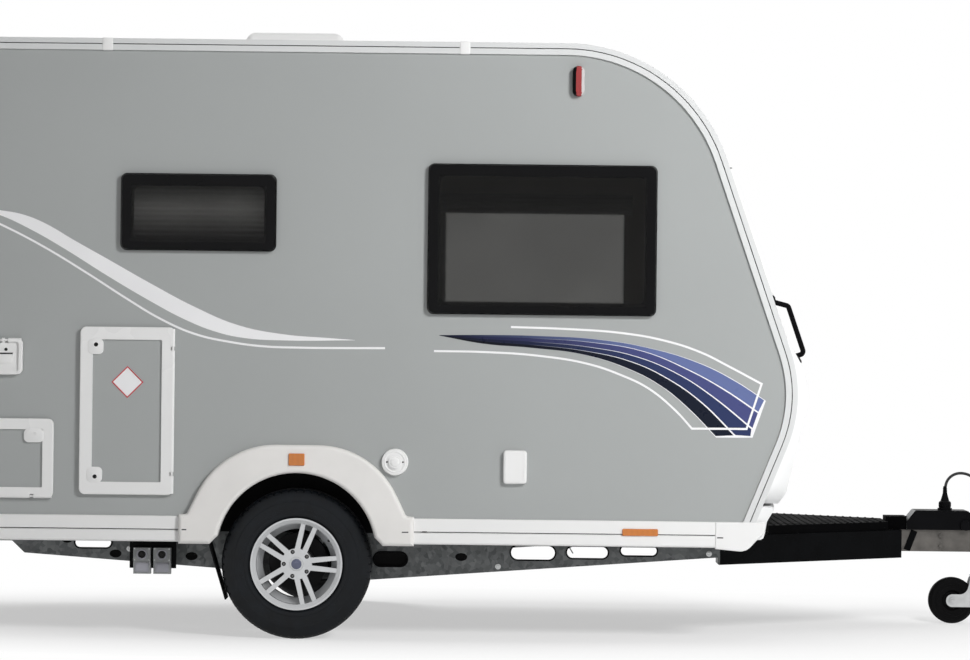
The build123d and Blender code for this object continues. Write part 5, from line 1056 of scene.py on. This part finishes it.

# %% [markdown]
# ## Fittings on the walls
# The flue has a raised ring, a knob and two screws, the cowl a fine step round its lid, and the long
# roof rails are jointed under small sleeves. Slots in the skirts and arches let out water; they are
# thin dark inlays, painted shade in place of the shade inside a real slot, since a slot this small
# reads by its shade alone.

# %% Flue and cowl
FLUE_X, FLUE_Z = 416, 761
FLUE_FACE_Y = -1050
FLUE_SCREWS = [(FLUE_X + dx, FLUE_FACE_Y, FLUE_Z) for dx in (-34, 34)]
ring_line = [(40, -0.3), (40.6, 1.8), (43, 2.6), (46, 1.8), (46.8, -0.3), (40, -0.3)]
knob_line = [(0, 3.5), (10, 3.2), (17, 2.2), (19, 0.8), (19.5, -0.3), (0, -0.3)]
flue_ring = settle(turned("flue_ring", ring_line, 48), at(FLUE_X, FLUE_FACE_Y, FLUE_Z), FACE_RIGHT)
flue_knob = settle(turned("flue_knob", knob_line, 40), at(FLUE_X, -1059, FLUE_Z), FACE_RIGHT)
cowl_lid = settle(rounded_frame("cowl_lid", 82, 124, 10, 4, 1.2), at(926, -1055.9, 745), FACE_RIGHT)
dress(join("vent_details", [flue_ring, flue_knob, cowl_lid]), white_moulding)
screws = stamp(screw_head("flue_screw", 3.6), set_at(FLUE_SCREWS))
dress(join("flue_screws", screws), lock_black)

# %% Rail joints and drain slots
JOINTS = [(-823, -1030.5, 2523), (694, -1030.5, 2523)]
# Place and length of each slot.
SLOTS = [(-474, -1070, 466, 20), (463, -1070, 465, 28), (545, -1044, 466, 20), (1800, -1046, 455, 26)]
sleeve = soft_block("rail_joint", (46, 27, 54), 5)
pick_faces(sleeve, lambda c, n: abs(n.x) > 0.9)
bpy.ops.mesh.inset(thickness=0.004)
bpy.ops.transform.resize(value=(1, 0.94, 0.97))
sleeves = stamp(settle(sleeve), set_at(JOINTS, Matrix.Identity(4)))
dress(both_sides("rail_joints", sleeves), white_moulding)
# Dark inlays as painted shade of the drain slots.
slots = [settle(soft_block("drain_slot", (long, 5, 1.2), 0.5, 2), at(x, y, z), FACE_RIGHT)
         for x, y, z, long in SLOTS]
dress(both_sides("drain_slots", slots), slit_shade)

# %% [markdown]
# ## Handles and lamps
# The grab handles stand on small round feet, and the rear lamps carry round reflectors behind a thin
# bezel. Each is seated by a line cast against the CAD panel, because those panels are curved.

# %% Handle feet, lamp reflectors and bezels
FITTING_Y = 0.880
AHEAD, BEHIND = 3.0, -3.0


def seats(node, start_x, z):
    """Matrices that stand a form on both sides of a CAD node, where a line along X first meets it."""
    moves = []
    for side in (-1, 1):
        start = Vector((start_x, FITTING_Y * side, z / 1000))
        place, normal = nodes[node].ray_cast(start, (-start_x, 0, 0))[1:3]
        turn = normal.to_track_quat("Z", "Y").to_matrix().to_4x4()
        moves.append(Matrix.Translation(place) @ turn)
    return moves


foot_line = [(0, 7), (13, 7), (17, 5.5), (20, 2.5), (21, -2), (0, -2)]
foot_seats = (seats("front_wall", AHEAD, 1470) + seats("front_moulding", AHEAD, 1216)
              + seats("rear_wall", BEHIND, 1176) + seats("rear_wall", BEHIND, 1424))
feet = stamp(settle(turned("handle_foot", foot_line, 32)), foot_seats)
dress(join("handle_feet", feet), black_plastic)
disc_line = [(0, 1.5), (20, 2.2), (34, 3.4), (37, 5), (40, 5), (42, 3.4), (42.5, -2), (0, -2)]
disc = settle(turned("lamp_disc", disc_line, 36))
# Height, name, lens and slot.
LAMP_ROWS = [(920, "brake_discs", red_lens, "red_lens"), (845, "turn_discs", amber_lens, "amber"),
             (665, "reverse_discs", clear_lens, "red_lens")]
for z, name, material, slot in LAMP_ROWS:
    dress(join(name, stamp(disc, seats("rear_lamps", BEHIND, z), keep=True)), material)
bpy.data.objects.remove(disc)

# %% [markdown]
# ## Under the floor
# Each lightening slot of the rails has a pressed lip, bolts hold the cross members and axle, and
# rubber plugs close the spare holes. A dark rubber sheet behind the slot near the wheel is painted
# shade, standing in for the shade inside the rail. The outlet boxes carry round sockets with rings,
# and a lid below each one. The rail's outer face is flat, so places on it are pairs of x and z.

# %% Slot lips, rail bolts and plugs
RAIL_Y = -745
# Middle x and z, length and height of the slots in the rails.
RAIL_SLOTS = [(-897, 386, 156, 44), (393, 327, 143, 58), (1011, 362, 192, 60), (1247, 366, 178, 50),
              (1470, 376, 157, 42)]
BOLTS = [(-1790, 422), (-754, 424), (-726, 424), (-740, 360), (846, 424), (874, 424), (860, 300), (1760, 424),
         (1790, 424), (1775, 366), (90, 400), (240, 400), (90, 262), (240, 262), (-480, 424), (-1400, 424),
         (620, 424)]
PLUGS = [(-1010, 400), (-800, 338), (-470, 330), (-560, 424), (700, 340), (1130, 420)]
OVAL_TURN = RIGHT_TURN @ Matrix.Diagonal((1.5, 1, 1, 1))


def on_rail(spots):
    """Places on the right rail's outer face."""
    return [(x, RAIL_Y, z) for x, z in spots]


lips = []
for x, z, long, tall in RAIL_SLOTS:
    lip = rounded_frame("slot_lip", long + 12, tall + 12, tall / 2 + 5.9, 7, 4)
    lips.append(settle(lip, at(x, RAIL_Y, z), FACE_RIGHT))
dress(both_sides("rail_slot_lips", lips), black_enamel)
bolts = stamp(hex_bolt("rail_bolt", 8.5, 7), set_at(on_rail(BOLTS)))
dress(both_sides("rail_bolts", bolts), bright_zinc)
plug_line = [(0, 1.2), (9, 1.4), (12, 2.6), (15, 2.6), (17, 1.2), (17.5, -0.5), (0, -0.5)]
plug_and_shade_pieces = stamp(settle(turned("rail_plug", plug_line, 28)), set_at(on_rail(PLUGS), OVAL_TURN))
# Painted shade: a dark rubber sheet behind the slot near the wheel, in place of the shade inside the rail.
slot_shade_sheet = rounded_pad("slot_shade_sheet", 142, 57, corner=28, high=6, rim=4, lift=-1.5)
plug_and_shade_pieces.append(settle(slot_shade_sheet, at(393, -738, 327), FACE_RIGHT))
dress(both_sides("rail_plugs_and_slot_shade", plug_and_shade_pieces), flap_rubber)

# %% Outlet sockets and lids
OUTLETS = (-668, -582)
OUTLET_BACK_Y = -0.8695
OUTLET_FACE_Y = -912
SOCKET_Z = 348
SCREW_SPOTS = [(x + dx, OUTLET_FACE_Y, SOCKET_Z + dz)
               for x in OUTLETS for dz in (24, -24) for dx in (-31, 31)]
outlet_grey = finish("outlet_grey", (0.36, 0.36, 0.40), 0.5, vary=0.06, patch=14)
paint_where("outlet_boxes", black_plastic, lambda c, n: c.y > OUTLET_BACK_Y)
ring_line = [(16, -0.4), (16.6, 2.2), (19, 3.2), (22.5, 2.6), (23.4, -0.4), (16, -0.4)]
pit_line = [(0, 3), (8.2, 3), (8.8, 2), (9.5, -9), (16.9, -9), (16.9, -12), (0, -12)]
ring_spots = [(x, OUTLET_FACE_Y, SOCKET_Z) for x in OUTLETS]
rings = stamp(settle(turned("socket_ring", ring_line, 40)), set_at(ring_spots))
lid = soft_block("outlet_lid", (58, 40, 3), 1.2)
pick_top(lid)
bpy.ops.mesh.inset(thickness=0.006)
bpy.ops.transform.translate(value=(0, 0, 0.0016))
lids = stamp(settle(lid), set_at([(x, -907, 292) for x in OUTLETS]))
pits = stamp(settle(turned("socket_pit", pit_line, 32)), set_at([(x, -910, SOCKET_Z) for x in OUTLETS]))
screws = stamp(screw_head("outlet_screw", 3.0), set_at(SCREW_SPOTS))
dress(join("outlet_rings_and_lids", rings + lids), outlet_grey)
dress(join("outlet_sockets", pits), lock_black)
dress(join("outlet_screws", screws), bright_zinc)

# %% [markdown]
# ## Drawbar and coupling
# The tread cover has ribs across it for the foot, the steel housing is bolted through the A-frame, and
# the plug has grip ribs and a soft boot. The lead's other end goes into a tapered strain relief. One
# rib is modelled a metre long, and each copy is scaled to the cover's width at its place.

# %% Tread ribs
RIB_COUNT = 17
RIB_FIRST_X, RIB_STEP = 2080, 32
COVER_REAR_X, COVER_REAR_HALF, COVER_TAPER = 2052, 528, 0.6705
RIB_MARGIN = 16
rib_moves = []
for number in range(RIB_COUNT):
    x = RIB_FIRST_X + RIB_STEP * number
    half = COVER_REAR_HALF - COVER_TAPER * (x - COVER_REAR_X) - RIB_MARGIN
    rib_moves += set_at([(x, 0, 479)], Matrix.Diagonal((1, 2 * half / 1000, 1, 1)))
rib = settle(tapered_block("tread_rib", (9, 1000, 4), 1.2, (0.6, 1, 1), 2))
dress(join("tread_ribs", stamp(rib, rib_moves)), tread_black)

# %% Housing bolts and straps
HOUSING_BOLTS = [(2880, -50, 412), (2880, -50, 366), (3085, -50, 412)]
HEAD_BOLTS = [(3262, -33, 392), (3300, -33, 392)]
STRAP_LEAN = (0, 0, math.radians(-20.9))
big_bolt = hex_bolt("housing_bolt", 11, 9)
bolts = stamp(big_bolt, set_at(HOUSING_BOLTS + HEAD_BOLTS), keep=True)
dress(both_sides("drawbar_bolts", bolts), housing_steel)
strap = settle(soft_block("housing_strap", (30, 95, 6), 1.5), turn=STRAP_LEAN)
settle(strap, at(2742, -52, 389.5), FACE_RIGHT)
dress(both_sides("housing_straps", [strap]), black_enamel)

# %% Jockey wheel's nuts and tyre rings
JOCKEY_X, JOCKEY_Z = 2955, 106
nut_moves = set_at([(JOCKEY_X, 66, JOCKEY_Z)]) + set_at([(JOCKEY_X, 158, JOCKEY_Z)], LEFT_TURN)
dress(join("jockey_axle_nuts", stamp(big_bolt, nut_moves)), bright_zinc, "jockey_fork")
ring_line = [(64, -0.4), (65, 2.4), (70, 3.2), (75, 2.4), (76, -0.4), (64, -0.4)]
ring_moves = set_at([(JOCKEY_X, 86.2, JOCKEY_Z)]) + set_at([(JOCKEY_X, 137.8, JOCKEY_Z)], LEFT_TURN)
rings = stamp(settle(turned("jockey_tyre_ring", ring_line, 48)), ring_moves)
dress(join("jockey_tyre_rings", rings), flap_rubber, "jockey_wheel")

# %% Plug grip, boot and strain relief
PLUG_X = 2904
boot_line = [(6.6, 0), (10.4, 0), (10.6, 5), (9.6, 6), (9.6, 9), (10.2, 10), (10, 15), (9.1, 16), (9.1, 19),
             (9.6, 20), (9.3, 25), (8.5, 26), (8.3, 32), (7.6, 34), (6.6, 34), (6.6, 0)]
ribs = stamp(settle(soft_block("plug_rib", (4, 5, 20), 1.4, 2)), set_round(14, (0.0265, 0, 0)))
grip = settle(join("plug_grip", ribs), at(PLUG_X, 0, 551))
boot = settle(turned("plug_boot", boot_line, 28), at(PLUG_X, 0, 601.5))
dress(join("plug_grip_and_boot", [grip, boot]), black_plastic)
relief = turned("lead_strain_relief", [(r * 1.04, h * 1.1) for r, h in boot_line], 28)
settle(relief, at(3033, -73.5, 400), FACE_RIGHT)
dress(relief, flap_rubber)

# %% [markdown]
# ## Studio
# A pale floor that turns into the pale background a little way off keeps the picture plain, and it
# keeps the caravan's shadow. One smaller soft lamp to the right models the near wall, and large ones
# ahead, behind, on the left and above fill the shade, at a level where colours come out as they are
# set.

# %% Floor and background
PALE = (1.0, 1.0, 1.0, 1)
FLOOR_TONE = (0.93, 0.93, 0.93, 1)
SKY_LIGHT = 0.12
FADE_FROM, FADE_TO = 1.0, 1.9
NEAR_GLOW = 0.52


def seen_directly(tree):
    """1 where the camera sees a surface, also in a mirror or through glass, and 0 where it only lights."""
    path = add_node(tree, "LightPath", {})
    value = path.outputs["Is Camera Ray"]
    for kind in ("Is Glossy Ray", "Is Transmission Ray"):
        larger = add_node(tree, "Math", {0: value, 1: path.outputs[kind]}, operation="MAXIMUM")
        value = larger.outputs["Value"]
    return value


def stage_floor():
    """Wide pale floor that turns into the background away from the caravan."""
    bpy.ops.object.select_all(action="DESELECT")
    bpy.ops.mesh.primitive_circle_add(vertices=96, radius=70, fill_type="NGON")
    floor = bpy.context.active_object
    floor.name = "studio_floor"
    material, tree, shader = start_material("studio_floor")
    feed(tree, shader, {"Base Color": FLOOR_TONE, "Roughness": 0.8, "Specular IOR Level": 0.1})
    oval = add_node(tree, "Mapping", {"Vector": object_place(tree), "Scale": (0.45, 1, 1)})
    far = add_node(tree, "VectorMath", {0: oval.outputs["Vector"]}, operation="LENGTH")
    fade = add_node(tree, "MapRange", {"Value": far.outputs["Value"], "From Min": FADE_FROM,
                                       "From Max": FADE_TO, "To Min": NEAR_GLOW})
    share = add_node(tree, "Math", {0: fade.outputs["Result"], 1: seen_directly(tree)}, operation="MULTIPLY")
    glow = add_node(tree, "Emission", {"Color": PALE})
    mix = add_node(tree, "MixShader", {"Fac": share.outputs["Value"], 1: shader.outputs["BSDF"],
                                       2: glow.outputs["Emission"]})
    feed(tree, tree.nodes["Material Output"], {"Surface": mix.outputs["Shader"]})
    floor.data.materials.append(material)


stage_floor()
world = bpy.data.worlds.new("studio_sky")
bpy.context.scene.world = world
world.use_nodes = True
sky = world.node_tree
strength = add_node(sky, "MapRange", {"Value": seen_directly(sky), "To Min": SKY_LIGHT, "To Max": 1.0})
feed(sky, sky.nodes["Background"], {"Color": PALE, "Strength": strength.outputs["Result"]})
print("floor and sky are ready")

# %% Lamps
# Name, place, target, width and height, and power.
LAMPS = [
    ("right_softbox", (3.6, -6.0, 4.2), (0.2, -1.0, 1.2), (1.6, 1.6), 365),
    ("front_fill", (9.0, 3.0, 4.0), (1.4, 0, 1.2), (5, 5), 130),
    ("left_fill", (-9.0, -8.0, 5.0), (-0.4, 0, 1.0), (6, 5), 50),
    ("overhead", (0.0, 1.0, 9.0), (0, 0, 0), (9, 6), 165),
    ("rear_fill", (-5.0, 7.0, 6.0), (0, 0, 1.0), (4, 4), 690),
]


def soft_lamp(name, place, target, size, power):
    """Area lamp aimed at a point; gloss shows the pale surroundings instead of it."""
    data = bpy.data.lights.new(name, "AREA")
    data.shape = "RECTANGLE"
    data.size, data.size_y = size
    data.energy = power
    lamp = add_object(name, data)
    aim = (Vector(target) - Vector(place)).to_track_quat("-Z", "Y").to_matrix().to_4x4()
    lamp.matrix_world = Matrix.Translation(place) @ aim
    lamp.visible_glossy = False


for row in LAMPS:
    soft_lamp(*row)
print("lamps:", [row[0] for row in LAMPS])

# %% [markdown]
# ## The lead
# The lead from the parked plug is a plain round cable that springs up, leans over and hangs down to
# its gland. One smooth NURBS line with the route's points as its control points, and a round bevel,
# is the whole cable.

# %% Lead along its route
LEAD_ROUTE = [
    (2904, 0, 602), (2904, 0, 638), (2920, 0, 674), (2954, -4, 696), (2996, -12, 696), (3034, -28, 676),
    (3068, -50, 644), (3100, -78, 606), (3128, -110, 560), (3152, -142, 508), (3170, -170, 450),
    (3184, -192, 390), (3190, -206, 330), (3172, -212, 272), (3122, -212, 238), (3064, -208, 250),
    (3030, -202, 298), (3026, -186, 348), (3030, -154, 386), (3033, -112, 400), (3033, -74, 400),
]
LEAD_R = 0.0065
lead_sheath = finish("lead_sheath", (0.012, 0.012, 0.013), 0.45, vary=0.25, patch=40, grain=0.1)
lead_curve = bpy.data.curves.new("lead_cable", "CURVE")
lead_curve.dimensions = "3D"
lead_curve.bevel_depth = LEAD_R
lead_curve.bevel_resolution = 5
lead_curve.resolution_u = 8
line = lead_curve.splines.new("NURBS")
line.points.add(len(LEAD_ROUTE) - 1)
for point, place in zip(line.points, LEAD_ROUTE):
    point.co = (*at(*place), 1)
line.order_u = 3
line.use_endpoint_u = True
lead_curve.materials.append(lead_sheath)
lead_cable = add_object("lead_cable", lead_curve)
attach(lead_cable, "body")
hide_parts("lead")
print("lead runs through", len(LEAD_ROUTE), "points")
